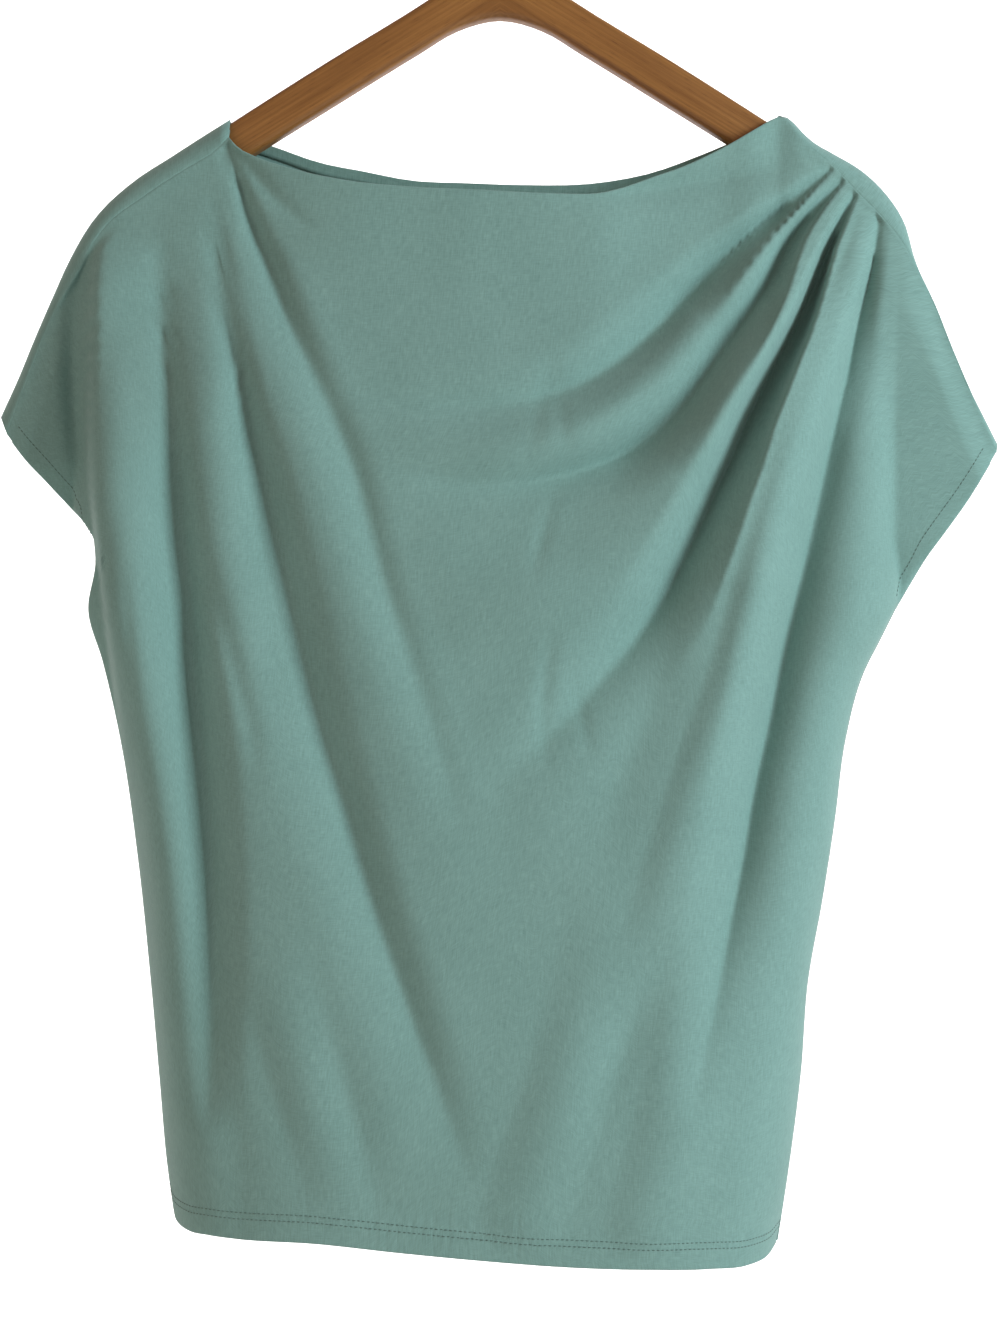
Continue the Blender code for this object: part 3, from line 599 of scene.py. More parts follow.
def breaks_of(columns):
    """The columns at which the left, the neck and the right top edges start and end."""
    return np.cumsum((0,) + columns)


def top_edge(tables, own_shares, breaks, columns_at):
    """A panel's three top edges, each spread over its columns or by shares of its own."""
    parts = []
    for number, table in enumerate(tables):
        own = columns_at[breaks[number]:breaks[number + 1] + 1] - columns_at[breaks[number]]
        parts.append(at_shares(smooth_line(table), own_shares.get(number, own / own[-1])))
    return join(*parts)


def outer_edge(tip, sleeve_hem, side, shares):
    """Points down a panel's outer edge: from its sleeve's tip to the underarm, then its side."""
    under = shares <= UNDERARM_SHARE
    hem = at_shares(smooth_line((tip[:2],) + sleeve_hem[1:]), shares[under] / UNDERARM_SHARE)
    below = (shares[~under] - UNDERARM_SHARE) / (1 - UNDERARM_SHARE)
    return np.vstack([hem, at_shares(smooth_line(side), below)])


def panel_net(top_tables, own_shares, hem_table, breaks, columns_at, shares):
    """Across and down of every crossing of rows and columns, and the top edge."""
    top_line = top_edge(top_tables, own_shares, breaks, columns_at)
    left_edge = outer_edge(top_tables[0][0], LEFT_SLEEVE_HEM, LEFT_SIDE, shares)[:, None]
    right_edge = outer_edge(top_tables[2][-1], RIGHT_SLEEVE_HEM, RIGHT_SIDE, shares)[:, None]
    u, t = columns_at[None, :, None], shares[:, None, None]
    top, hem = top_line[None, :, :2], at_shares(smooth_line(hem_table), columns_at)[None]
    top_shape, hem_shape = [edge - (edge[:, :1] * (1 - u) + edge[:, -1:] * u)
                            for edge in (top, hem)]
    between = left_edge * (1 - u) + right_edge * u
    net = between + (1 - t) ** EDGE_INFLUENCE * top_shape + t**EDGE_INFLUENCE * hem_shape
    return net[..., 0], net[..., 1], top_line


def close_sides(depth, shares, seam_depth):
    """Brings the side edges to their seam, gently over the last of the sleeves' hems."""
    closing = ease((shares - UNDERARM_SHARE + CLOSING_SHARE) / CLOSING_SHARE)
    for edge in (0, -1):
        depth[:, edge] += (seam_depth - depth[:, edge]) * closing


print("columns crowd to", np.round(close_at_ends(40, 8)[:4], 4), "of the width at a side")

# %% [markdown]
# ## Turning in the edges
#
# No edge of a real t-shirt is a cut line. The neck is folded in, the hems are turned up
# and the seams have their allowances inside. So at each edge the cloth here goes round a
# small bend and back along its own inner side. The bend gives the edge its thickness and
# its soft highlight, and two bends that meet make the fine groove of a seam. At the right
# shoulder the pleats pull the seam flat, so the bends there nearly touch.

# %% Turned edges
CLOTH = 0.6
TURN = 0.12
SET_BACK = 0.36
FLAT_SET_BACK = 0.12
TURN_STEPS = 3


def unit(vectors):
    return vectors / np.maximum(np.linalg.norm(vectors, axis=-1, keepdims=True), 1e-12)


def inward_of(points, facing):
    """The way to the inside of the garment at each point of a net."""
    return unit(np.cross(np.gradient(points, axis=0), np.gradient(points, axis=1))) * facing


def set_back_first_row(points, distance):
    """Draws the first row in, so that its turned edge ends where the cloth should."""
    moved = points.copy()
    moved[0] += unit(points[1] - points[0]) * np.reshape(distance, (-1, 1)) * MM
    return moved


def lap_rows(points, inward, picked):
    """Rows that carry the cloth round its first row and back along its inner side."""
    beyond = unit(points[0] - points[1])
    rows = []
    for step in range(1, TURN_STEPS + 1):
        angle = math.pi * step / (TURN_STEPS + 1)
        bent = beyond * math.sin(angle) + inward[0] * (1 - math.cos(angle))
        rows.append(points[0] + bent * TURN * MM)
    rows.extend(points[picked] + inward[picked] * 2 * TURN * MM)
    return np.array(rows)


print("a turned edge is", round(2 * (CLOTH + TURN), 2), "mm thick")

# %% [markdown]
# ## From a net to a sheet of cloth
#
# A sheet is one open mesh first, with every panel, lap and flap sharing its points with
# its neighbour. Each point also keeps its place on the flat cloth, in metres, as a UV map,
# so the knit runs over folds as it does on real jersey. Solidify then gives it a wall,
# outwards from the modelled face. All of a sheet's mesh is made in code, because a cloth
# has tens of thousands of points and no edge that a modelling tool could make.

# %% The cloth mesh
def new_piece(name, points, faces, material):
    """An object at the origin, from points in metres."""
    mesh = bpy.data.meshes.new(name)
    mesh.from_pydata(points, [], faces)
    mesh.materials.append(material)
    mesh.shade_smooth()
    piece = bpy.data.objects.new(name, mesh)
    bpy.context.collection.objects.link(piece)
    return piece


def select_only(piece):
    bpy.ops.object.select_all(action="DESELECT")
    bpy.context.view_layer.objects.active = piece
    piece.select_set(True)


def apply_modifiers(piece):
    select_only(piece)
    for modifier in list(piece.modifiers):
        bpy.ops.object.modifier_apply(modifier=modifier.name)
    triangles = sum(len(face.vertices) - 2 for face in piece.data.polygons)
    print(piece.name, "has", triangles, "triangles")


class Cloth:
    """Nets of points that grow into one open mesh."""

    def __init__(self):
        self.points, self.flat, self.faces = [], [], []

    def lay(self, points, flat, facing, joined=None):
        """Adds a net. joined gives the points that it shares, and -1 for new ones."""
        index = np.full(points.shape[:2], -1) if joined is None else joined.copy()
        fresh = index < 0
        index[fresh] = len(self.points) + np.arange(fresh.sum())
        self.points.extend(points[fresh].tolist())
        self.flat.extend(flat[fresh].tolist())
        corners = [index[:-1, :-1], index[1:, :-1], index[1:, 1:], index[:-1, 1:]]
        quads = np.stack(corners, axis=-1).reshape(-1, 4)
        self.faces.extend((quads if facing < 0 else quads[:, ::-1]).tolist())
        return index

    def sew(self, name, material):
        """The finished sheet as an object, with its wall and its flat map."""
        sheet = new_piece(name, self.points, self.faces, material)
        flat_map = sheet.data.uv_layers.new(name="flat_cloth")
        corners = [corner for face in self.faces for corner in face]
        flat_map.data.foreach_set("uv", np.array(self.flat)[corners].astype(np.float32).ravel())
        solid = sheet.modifiers.new("wall", "SOLIDIFY")
        solid.thickness = CLOTH * MM
        solid.offset = 1.0
        solid.use_even_offset = False
        apply_modifiers(sheet)
        return sheet


def flat_places(points, top_down):
    """Where each point of a net lies on the flat cloth, in metres."""
    run = running_length(points, axis=1)
    across = run - run[:, [np.argmin(np.abs(points[0, :, 0]))]]
    return np.stack([across, -(running_length(points) + top_down[None] * MM)], axis=-1)


print("cloth is", CLOTH, "mm thick")

# %% [markdown]
# ## Shader maths as expressions
#
# A material is a net of small sums. Written as node calls they can't be read, so one
# class wraps a socket: adding or multiplying two of them adds a Math node, and a number
# may stand on either side. Colours are mixed by Mix nodes, which keep them colours.

# %% A socket that can do sums
def sum_node(operation, turned=False, clamp=False):
    """A method that adds one Math node, with its two numbers in turned order if wanted."""
    def method(self, other=0.0):
        numbers = (other, self) if turned else (self, other)
        settings = {"operation": operation, "use_clamp": clamp}
        return self.node("ShaderNodeMath", settings, dict(enumerate(numbers)))
    return method


class Wire:
    """A node's output socket, with sums on it."""

    def __init__(self, tree, socket):
        self.tree, self.socket = tree, socket

    def node(self, kind, settings=None, inputs=None, output=0):
        """Any other node: its settings are set first, then its sockets' values or links."""
        made = self.tree.nodes.new(kind)
        for name, value in (settings or {}).items():
            setattr(made, name, value)
        for name, value in (inputs or {}).items():
            if isinstance(value, Wire):
                self.tree.links.new(value.socket, made.inputs[name])
            else:
                made.inputs[name].default_value = value
        return Wire(self.tree, made.outputs[output])

    __add__ = __radd__ = sum_node("ADD")
    __sub__ = sum_node("SUBTRACT")
    __rsub__ = sum_node("SUBTRACT", turned=True)
    __mul__ = __rmul__ = sum_node("MULTIPLY")
    clamped = sum_node("ADD", clamp=True)
    wave = sum_node("SINE")
    size = sum_node("ABSOLUTE")

    def mix(self, first, second):
        """The first colour where this is 0 and the second where it is 1."""
        return self.node("ShaderNodeMix", {"data_type": "RGBA"},
                         {"Factor": self, 6: first, 7: second}, output=2)

    def stretched(self, across, down, through=1.0):
        """This place, scaled apart along its axes."""
        return self.node("ShaderNodeVectorMath", {"operation": "MULTIPLY"},
                         {0: self, 1: (across, down, through)})

    def grain(self, detail=2.0, roughness=0.5, scale=1.0, distortion=0.0):
        """Noise at this place, from about 0 to 1."""
        return self.node("ShaderNodeTexNoise", {},
                         {"Vector": self, "Scale": scale, "Detail": detail,
                          "Roughness": roughness, "Distortion": distortion})

    def contrasted(self, amount):
        """This pattern with more contrast about its middle, kept from 0 to 1."""
        return ((self - 0.5) * amount + 0.5).clamped()

    def part(self, index):
        """One of the three numbers of this place."""
        return self.node("ShaderNodeSeparateXYZ", {}, {0: self}, output=index)


def new_finish(name, place_from="Object", **shader_values):
    """A material, its shader and the place that its pattern reads."""
    material = bpy.data.materials.new(name)
    material.use_nodes = True
    tree = material.node_tree
    shader = tree.nodes["Principled BSDF"]
    for socket, value in shader_values.items():
        shader.inputs[socket.replace("_", " ")].default_value = value
    if place_from == "Object":
        place_node = tree.nodes.new("ShaderNodeTexCoord")
        return material, shader, Wire(tree, place_node.outputs["Object"])
    place_node = tree.nodes.new("ShaderNodeUVMap")
    place_node.uv_map = place_from
    return material, shader, Wire(tree, place_node.outputs["UV"])


def feed(shader, **wires):
    """Links finished values to the shader's sockets."""
    for socket, wire in wires.items():
        wire.tree.links.new(wire.socket, shader.inputs[socket.replace("_", " ")])


def relief(height, distance, strength=1.0):
    """A bump from a height of 0 to 1."""
    return height.node("ShaderNodeBump", {},
                       {"Strength": strength, "Distance": distance, "Height": height})


print("the shader sums are ready")

# %% [markdown]
# ## Sage jersey
#
# Single jersey shows fine columns of stitches, the wales, crossed by rows, the courses.
# The yarn is heathered: light and dark fibres are spun together, so thin streaks run both
# ways. From a metre away the knit reads as a soft grid, so it is mostly streaky noise,
# with a small relief. Sheen gives the pale bloom of fibre ends where the cloth turns away.

# %% The jersey's finish
WALE = 0.0007
COURSE = 0.00055
HEATHER_CONTRAST = 3.2
# Width, length and detail of the streaks down, the streaks across, the mottle and the
# patches, and the share that each has in the tone.
PATTERNS = ((0.0006, 0.008, 2.0, 0.38), (0.006, 0.0005, 2.0, 0.3),
            (0.0022, 0.0032, 3.0, 0.2), (0.035, 0.05, 2.0, 0.12))
SAGE = ((0.146, 0.270, 0.238, 1), (0.182, 0.325, 0.290, 1), (0.222, 0.380, 0.342, 1))
# Darker copies of the sage colours for the neck binding: painted shade inside the neck.
SHADED_SAGE = ((0.12, 0.225, 0.195, 1), (0.155, 0.28, 0.245, 1), (0.19, 0.33, 0.29, 1))


def jersey_finish(name, colours):
    """Heathered single jersey on the flat cloth's own measures."""
    dark, middle, light = colours
    material, shader, flat = new_finish(name, "flat_cloth", Roughness=0.9, Sheen_Weight=0.22,
                                        Sheen_Roughness=0.45, Specular_IOR_Level=0.25,
                                        Sheen_Tint=(0.85, 1.0, 0.97, 1))
    wales = (flat.part(0) * (2 * math.pi / WALE)).wave()
    courses = (flat.part(1) * (2 * math.pi / COURSE)).wave()
    patterns = [flat.stretched(1 / width, 1 / length).grain(detail=detail)
                for width, length, detail, _ in PATTERNS]
    down_streaks, across_streaks = patterns[:2]
    tone = sum(pattern * row[-1] for pattern, row in zip(patterns, PATTERNS))
    tone = tone.contrasted(HEATHER_CONTRAST)
    cool = (tone * 2 - 1).clamped().mix(middle, light)
    colour = (1 - tone * 2).clamped().mix(cool, dark)
    knit = wales * 0.08 + courses * 0.06 + down_streaks * 0.45 + across_streaks * 0.4
    feed(shader, Base_Color=colour, Roughness=down_streaks * 0.1 + 0.82,
         Normal=relief(knit, 0.00025, 0.35))
    return material


sage_jersey = jersey_finish("sage_jersey", SAGE)
print("jersey with a wale of", WALE * 1000, "mm")

# %% [markdown]
# ## The front
#
# The front is one panel with the front halves of both cap sleeves. Its right seam gets
# the most columns, because the four pleats are gathered there within five centimetres.
# Fine press marks and small puckers come from their own short tables: they are a few
# tenths of a millimetre high, too little for a fold but easily seen in raking light.

# %% Columns and rows of the front
CROWDED = 10
FRONT_COLUMNS = (34, 58, 100)
FRONT_ROWS = 214
FRONT_ROW_SPACING = ((0, 1.9), (0.36, 2.1), (0.46, 4.4), (0.93, 4.4), (0.965, 1.6), (1, 1.5))
RIGHT_SPACING = ((0, 2.6), (0.12, 1.8), (0.17, 0.95), (0.42, 0.95), (0.5, 2.2), (0.9, 5.0),
                 (1, 2.0))
front_breaks = breaks_of(FRONT_COLUMNS)
front_columns_at = close_at_ends(front_breaks[-1], CROWDED)
front_shares = row_shares(FRONT_ROWS, FRONT_ROW_SPACING)
print("front net:", len(front_columns_at), "columns by", len(front_shares), "rows")

# %% Press marks and puckers
PRESS_MARKS = (
    Fold("press_left_1", ((30, 190), (22, 228), (12, 268)), (0, 1.1, 0), 5, 5, 1.2),
    Fold("press_right_1", ((28, 196), (34, 232), (40, 266)), (0, 0.9, 0), 5, 5, 1.2),
    Fold("press_left_2", ((32, 268), (24, 300), (16, 330)), (0, 1.2, 0), 6, 6, 1.2),
    Fold("press_middle", ((30, 350), (24, 395), (28, 440)), (0, 1.3, 0.8, 0), 7, 7, 1.5),
    Fold("press_right_2", ((38, 372), (46, 402), (52, 430)), (0, 0.9, 0), 6, 6, 1.5),
)
PUCKER = 0.25
PUCKER_PITCH = 4.2
PUCKER_FROM, PUCKER_TO = -130, 60
FADE_FROM, FADE_TO = 30, 60
PUCKER_SPREAD = 1.6
WANDER, WANDER_LENGTH, WANDER_SEED = 5, 9, 4.0
HEM_DEPTH = 14.0


def hem_puckers(across, above_hem):
    """Small upright waves where the hem's sewing draws the cloth together."""
    inside = ease((across - PUCKER_FROM) / FADE_FROM) * ease((PUCKER_TO - across) / FADE_TO)
    fades = ease(PUCKER_SPREAD - np.abs(above_hem - HEM_DEPTH) / HEM_DEPTH)
    wander = [noise.noise(Vector((value / WANDER_LENGTH, WANDER_SEED, 0.0)))
              for value in across.ravel()]
    wave = np.sin(2 * math.pi * across / PUCKER_PITCH + WANDER * np.reshape(wander, across.shape))
    return PUCKER * wave * inside * fades


print(len(PRESS_MARKS), "press marks")

# %% The front's net
# The flat edge of the right shoulder starts this many columns before its seam.
FLAT_BEFORE = 4


def front_net():
    """Points of the front in metres, with its folds, press marks and puckers."""
    own_shares = {2: row_shares(FRONT_COLUMNS[2], RIGHT_SPACING)}
    across, down, top = panel_net((LEFT_SEAM, FRONT_NECK, RIGHT_SEAM), own_shares, FRONT_HEM,
                                  front_breaks, front_columns_at, front_shares)
    depth = front_depth(across, down)
    depth += fold_depths(PRESS_MARKS, across, down)
    depth += hem_puckers(across, down[-1][None] - down)
    close_sides(depth, front_shares, -SIDE_GAP)
    return place(across, down, depth), top[:, 1]


front_points, front_top_down = front_net()
front_set_back = np.where(np.arange(front_breaks[3] + 1) < front_breaks[2] - FLAT_BEFORE,
                          SET_BACK, FLAT_SET_BACK)
front_points = set_back_first_row(front_points, front_set_back)
front_flat = flat_places(front_points, front_top_down)
print("front net spans", np.round(np.ptp(front_points, axis=(0, 1)) * 1000), "mm")

# %% Sew the front
NECK_FOLD = 12.0
SEAM_ALLOWANCE = 6.0
SLEEVE_LAP = 9.2
LAP_CLEAR = 5
LAP_SHIFT = (0.0, 0.004)


def rows_within(points, depth):
    """Rows of a net up to the given distance from its first row."""
    run = running_length(points[:, points.shape[1] // 2])[1:]
    return 1 + np.arange(max(1, int(np.sum(run < depth * MM))))


def turn_in(cloth, points, flat, index, facing, depth):
    """Folds the first row of a net to the inside, where the knit is another stretch of cloth."""
    picked = rows_within(points, depth)
    lap = lap_rows(points, inward_of(points, facing), picked)
    lap_flat = np.concatenate([np.repeat(flat[:1], TURN_STEPS, axis=0), flat[picked]]) + LAP_SHIFT
    joined = np.full((len(lap) + 1, points.shape[1]), -1)
    joined[0] = index[0]
    cloth.lay(np.concatenate([points[:1], lap]), np.concatenate([flat[:1], lap_flat]), -facing,
              joined)


def on_its_side(net, from_right):
    """The net with its left or right edge as its first row."""
    return np.swapaxes(net[:, ::-1] if from_right else net, 0, 1)


def sleeve_part(shares):
    """The rows of a net that run down a sleeve's hem."""
    return slice(LAP_CLEAR, int(np.sum(shares <= UNDERARM_SHARE)) - 1)


def turn_up_hems(cloth, nets, shares, facing):
    """Turns up the bottom hem and the hems of both sleeves."""
    turn_in(cloth, *[net[::-1, CROWDED:-CROWDED] for net in nets], -facing, HEM_DEPTH)
    for from_right in (False, True):
        sleeve_nets = [on_its_side(net[sleeve_part(shares)], from_right) for net in nets]
        turn_in(cloth, *sleeve_nets, facing if from_right else -facing, SLEEVE_LAP)


front_cloth = Cloth()
front_nets = (front_points, front_flat, front_cloth.lay(front_points, front_flat, facing=-1))
turn_in(front_cloth, *front_nets, -1, NECK_FOLD)
turn_up_hems(front_cloth, front_nets, front_shares, -1)
front = front_cloth.sew("front", sage_jersey)

# %% [markdown]
# ## The back
#
# The back is a plain panel, but its shoulders reach over the hanger to the seams in
# front. The flap that does so goes round the crest in a quarter circle, so the hanger's
# thickness shows in the cloth. The picture doesn't show the back, so its folds repeat the
# front's plain ones, uneven in the same way.

# %% The back's net
BACK_COLUMNS = (34, 44, 50)
BACK_ROWS = 150
BACK_ROW_SPACING = ((0, 0.9), (0.03, 1.4), (0.1, 3.4), (0.45, 4.6), (0.94, 4.6), (0.97, 2.0),
                    (1, 1.8))
FLAP_STEPS = 12
FLAP_SHIFT = (0.0, 0.5)
back_breaks = breaks_of(BACK_COLUMNS)
back_columns_at = close_at_ends(back_breaks[-1], CROWDED)
back_shares = row_shares(BACK_ROWS, BACK_ROW_SPACING)


def back_net():
    """Points of the back from the crests down, in measures, with the top edge's downs."""
    own_shares = {1: (1 - np.cos(np.linspace(0, math.pi, BACK_COLUMNS[1] + 1))) / 2}
    across, down, top = panel_net((LEFT_CREST, BACK_NECK, RIGHT_CREST), own_shares, BACK_HEM,
                                  back_breaks, back_columns_at, back_shares)
    depth = back_depth(across, down)
    depth[0] = top[:, 2]
    close_sides(depth, back_shares, SIDE_GAP)
    return np.dstack([across, down, depth]), top[:, 1]


def flap_rows(crest, seam):
    """The lap of the back over the hanger, from the crest to the seam in front."""
    angles = np.linspace(0, math.pi / 2, FLAP_STEPS + 1)[:, None, None]
    rows = np.repeat(crest[None], FLAP_STEPS + 1, axis=0)
    rows[..., :2] += (seam[:, :2] - crest[:, :2])[None] * (1 - np.cos(angles))
    rows[..., 2:] += (seam[:, 2:] - crest[:, 2:])[None] * np.sin(angles)
    return rows


back_measures, back_top_down = back_net()
back_points = place(*np.moveaxis(back_measures, -1, 0))
back_flat = flat_places(back_points, back_top_down)
print("back net:", back_points.shape[1], "columns by", back_points.shape[0], "rows")

# %% Sew the back
back_cloth = Cloth()
back_index = back_cloth.lay(back_points, back_flat, facing=1)


def sew_flap(first, last, seam_table, set_back):
    """Adds one shoulder's flap between two columns, with its edge set back at the seam."""
    columns = slice(first, last + 1)
    span = back_columns_at[columns] - back_columns_at[first]
    seam = at_shares(smooth_line(seam_table), span / span[-1])
    points = place(*np.moveaxis(flap_rows(back_measures[0, columns], seam), -1, 0))
    points[-1] += unit(points[-2] - points[-1]) * set_back * MM
    flat = flat_places(points, np.zeros(points.shape[1]))
    joined = np.full(points.shape[:2], -1)
    joined[0] = back_index[0, columns]
    index = back_cloth.lay(points, flat + FLAP_SHIFT, -1, joined)
    return points[::-1], flat[::-1], index[::-1]


left_flap = sew_flap(back_breaks[0], back_breaks[1], LEFT_SEAM, SET_BACK)
right_flap = sew_flap(back_breaks[2], back_breaks[3], RIGHT_SEAM, FLAT_SET_BACK)
for flap_nets in (left_flap, right_flap):
    turn_in(back_cloth, *flap_nets, 1, SEAM_ALLOWANCE)
turn_up_hems(back_cloth, (back_points, back_flat, back_index), back_shares, 1)
back = back_cloth.sew("back", sage_jersey)

# %% [markdown]
# ## The back neck binding
#
# The inside of the back neck is finished with a narrow strip of the same jersey. It is
# the only part of the inside that the front view shows, as a darker line over the front
# neck edge. Its colours are the jersey's, darkened: painted shade inside the neck.

# %% Make the binding
BINDING_WIDTH = 8.6
BINDING_GAP = 0.3
BINDING_DROP = 0.3
ENDS_SHORT = 6
# The binding's jersey is darkened: painted shade inside the neck.
binding_jersey_painted_shade = jersey_finish("binding_jersey_painted_shade", SHADED_SAGE)
binding_columns = slice(back_breaks[1] + ENDS_SHORT, back_breaks[2] + 1 - ENDS_SHORT)
binding_rows = [0, *rows_within(back_points[:, binding_columns], BINDING_WIDTH)[::2]]
inside_back = back_points + inward_of(back_points, 1) * BINDING_GAP * MM
binding_net = inside_back[binding_rows][:, binding_columns]
binding_net[0] += (binding_net[1] - binding_net[0]) * BINDING_DROP
binding_cloth = Cloth()
binding_cloth.lay(binding_net, flat_places(binding_net, np.zeros(binding_net.shape[1])), facing=-1)
binding = binding_cloth.sew("back_neck_strip", binding_jersey_painted_shade)

# %% [markdown]
# ## Stitches
#
# The bottom hem is sewn with a twin needle: two rows of short stitches 3.4 mm apart, with
# the cloth raised between them. The sleeve hems have one row. Each stitch is a short bead
# of thread that sinks into the cloth at both ends, modelled once as a few faces and
# copied along its row, because a hem has hundreds of them.

# %% A stitch, and rows of stitches
STITCH_PITCH = 2.6
STITCH_LENGTH = 1.9
THREAD = 0.55
STITCH_END = 0.45
STITCH_RISE = 0.25
STITCH_SINK = 0.12
STITCH_CLEAR = 0.02
TWIN_GAP = 3.4
AHEAD = 0.0005
SIDES_CLEAR = 2
THREAD_GRAIN = 900.0
# The thread's own colour is a little darker than the jersey; the rest of its darkness is painted
# shade for the needle holes that the stitches sink into.
THREAD_COLOURS_AND_PAINTED_SHADE = ((0.055, 0.115, 0.098, 1), (0.115, 0.215, 0.185, 1))


def tube_faces(rings, sides):
    """Faces of a closed tube, whose points come ring by ring."""
    faces = []
    for ring in range(rings - 1):
        for side in range(sides):
            a, b = ring * sides + side, ring * sides + (side + 1) % sides
            faces.append((a, b, b + sides, a + sides))
    return faces + [tuple(range(sides))[::-1], tuple(range((rings - 1) * sides, rings * sides))]


def bead(sections=5, sides=5):
    """One stitch along +X at unit length: its rings, thickest in the middle."""
    rings = []
    for share in np.linspace(0, 1, sections):
        height = math.sin(math.pi * share)
        size = 0.5 * THREAD * (STITCH_END + (1 - STITCH_END) * height)
        for angle in 2 * math.pi * np.arange(sides) / sides:
            rise = size * math.sin(angle) + STITCH_RISE * height - STITCH_SINK
            rings.append((share - 0.5, size * math.cos(angle), rise))
    return np.array(rings), tube_faces(sections, sides)


def stitch_row(name, line, outward, material):
    """Stitches along a line of points in metres, laid on the cloth with the given normals."""
    shape, shape_faces = bead()
    run = running_length(line)
    margin = STITCH_PITCH * MM * 0.5
    starts = np.arange(margin, run[-1] - margin, STITCH_PITCH * MM)
    centre, ahead, up = [
        np.stack([np.interp(starts + shift, run, column) for column in data.T], axis=1)
        for data, shift in ((line, 0), (line, AHEAD), (outward, 0))]
    along = unit(ahead - centre)
    side = unit(np.cross(up, along))
    x, y, z = shape.T[:, None, :, None] * MM
    points = centre[:, None] + along[:, None] * x * STITCH_LENGTH
    points += side[:, None] * y + np.cross(along, side)[:, None] * z
    faces = [[number * len(shape) + corner for corner in face]
             for number in range(len(starts)) for face in shape_faces]
    print(name, "has", len(starts), "stitches")
    return new_piece(name, points.reshape(-1, 3), faces, material)


def line_on(points, facing, distance, from_last=True):
    """A line on the outside of a net, a distance from its last row or its first."""
    order = slice(None, None, -1) if from_last else slice(None)
    run = running_length(points[order])

    def at_distance(values):
        return np.array([[np.interp(distance * MM, run[:, column], values[order][:, column, axis])
                          for axis in range(3)] for column in range(run.shape[1])])

    outward = unit(-at_distance(inward_of(points, facing)))
    return at_distance(points) + outward * (CLOTH + STITCH_CLEAR) * MM, outward


# Thread colours: its own slightly darker tone, plus painted shade of the needle holes.
thread, thread_shader, thread_place = new_finish("sage_thread_painted_shade", Roughness=0.7, Sheen_Weight=0.2)
thread_tone = thread_place.grain(scale=THREAD_GRAIN, detail=1.0)
feed(thread_shader, Base_Color=thread_tone.mix(*THREAD_COLOURS_AND_PAINTED_SHADE))
stitch_rows = {"front": [], "back": []}
for name, points, facing, shares in (("front", front_points, -1, front_shares),
                                     ("back", back_points, 1, back_shares)):
    for number, distance in enumerate((HEM_DEPTH, HEM_DEPTH - TWIN_GAP)):
        line, outward = line_on(points[:, SIDES_CLEAR:-SIDES_CLEAR], facing, distance)
        row_name = f"{name}_hem_stitches_{number + 1}"
        stitch_rows[name].append(stitch_row(row_name, line, outward, thread))
    for side, from_right in (("left", False), ("right", True)):
        net = on_its_side(points[sleeve_part(shares)], from_right)
        line, outward = line_on(net, facing if from_right else -facing, SLEEVE_LAP, from_last=False)
        row_name = f"{name}_{side}_sleeve_stitches"
        stitch_rows[name].append(stitch_row(row_name, line, outward, thread))

# %% [markdown]
# ## Beech
#
# Beech is an even, orange-brown wood with short dark flecks and long fine fibres that run
# along each arm. The pattern reads the object's own place. Its across part is mirrored
# about the middle and then slid by the arm's slope, so the fibres follow both arms.

# %% The beech's finish
DARK_BEECH = (0.150, 0.056, 0.011, 1)
LIGHT_BEECH = (0.37, 0.170, 0.042, 1)
FLECK_BROWN = (0.085, 0.028, 0.009, 1)
BEECH_CONTRAST = 2.4
FLECKS_FROM = 0.6
beech, beech_shader, wood_place = new_finish("oiled_beech", Roughness=0.45, Specular_IOR_Level=0.45)
out_along = wood_place.part(0).size()
off_arm = wood_place.part(2) + out_along * WOOD_SLOPE
arm_place = wood_place.node("ShaderNodeCombineXYZ", {},
                            {0: out_along, 1: wood_place.part(1), 2: off_arm})
fibres = arm_place.stretched(14.0, 700.0, 700.0).grain(detail=4.0, roughness=0.6)
flecks = arm_place.stretched(120.0, 1500.0, 1500.0).grain(detail=2.0)
bands = arm_place.stretched(6.0, 90.0, 90.0).grain(detail=3.0, distortion=0.6)
wood_tone = (bands * 0.55 + fibres * 0.45).contrasted(BEECH_CONTRAST)
wood_colour = wood_tone.mix(DARK_BEECH, LIGHT_BEECH)
fleck_mask = ((flecks - FLECKS_FROM) * 7).clamped() * 0.55
wood_colour = fleck_mask.mix(wood_colour, FLECK_BROWN)
feed(beech_shader, Base_Color=wood_colour, Roughness=fibres * 0.2 + 0.34,
     Normal=relief(fibres * 0.6 + flecks * 0.4, 0.0004, 0.35))
print("beech is ready")

# %% [markdown]
# ## The hanger
#
# The hanger is a plain flat wishbone of beech, sawn to its outline and rounded over along
# its edges. It is modelled like that: the outline as one flat face, pushed out to its
# thickness, with its long edges bevelled.

# %% Cut the wood
WOOD_HALF = 6.0
WOOD_ROUND = 4.0
ROUND_SEGMENTS = 6
SHARP_FROM = 60
SMOOTH_TO = 40
WOOD_TOP = ((9, -20.5), (40, 0.8), (96, 35.2), (151, 70.2), (185, 92.4), (203, 105.0))
WOOD_END = ((212, 111.5), (218.5, 119), (219, 127), (213, 131.5), (204, 129.5))
WOOD_UNDER = ((180, 114), (133, 84), (88, 56), (45, 29.5), (24, 17))
WOOD_APEX_UNDER = 11.0


def face_outward(piece):
    """Turns every face of a closed piece to its outside."""
    select_only(piece)
    bpy.ops.object.mode_set(mode="EDIT")
    bpy.ops.mesh.select_all(action="SELECT")
    bpy.ops.mesh.normals_make_consistent(inside=False)
    bpy.ops.object.mode_set(mode="OBJECT")


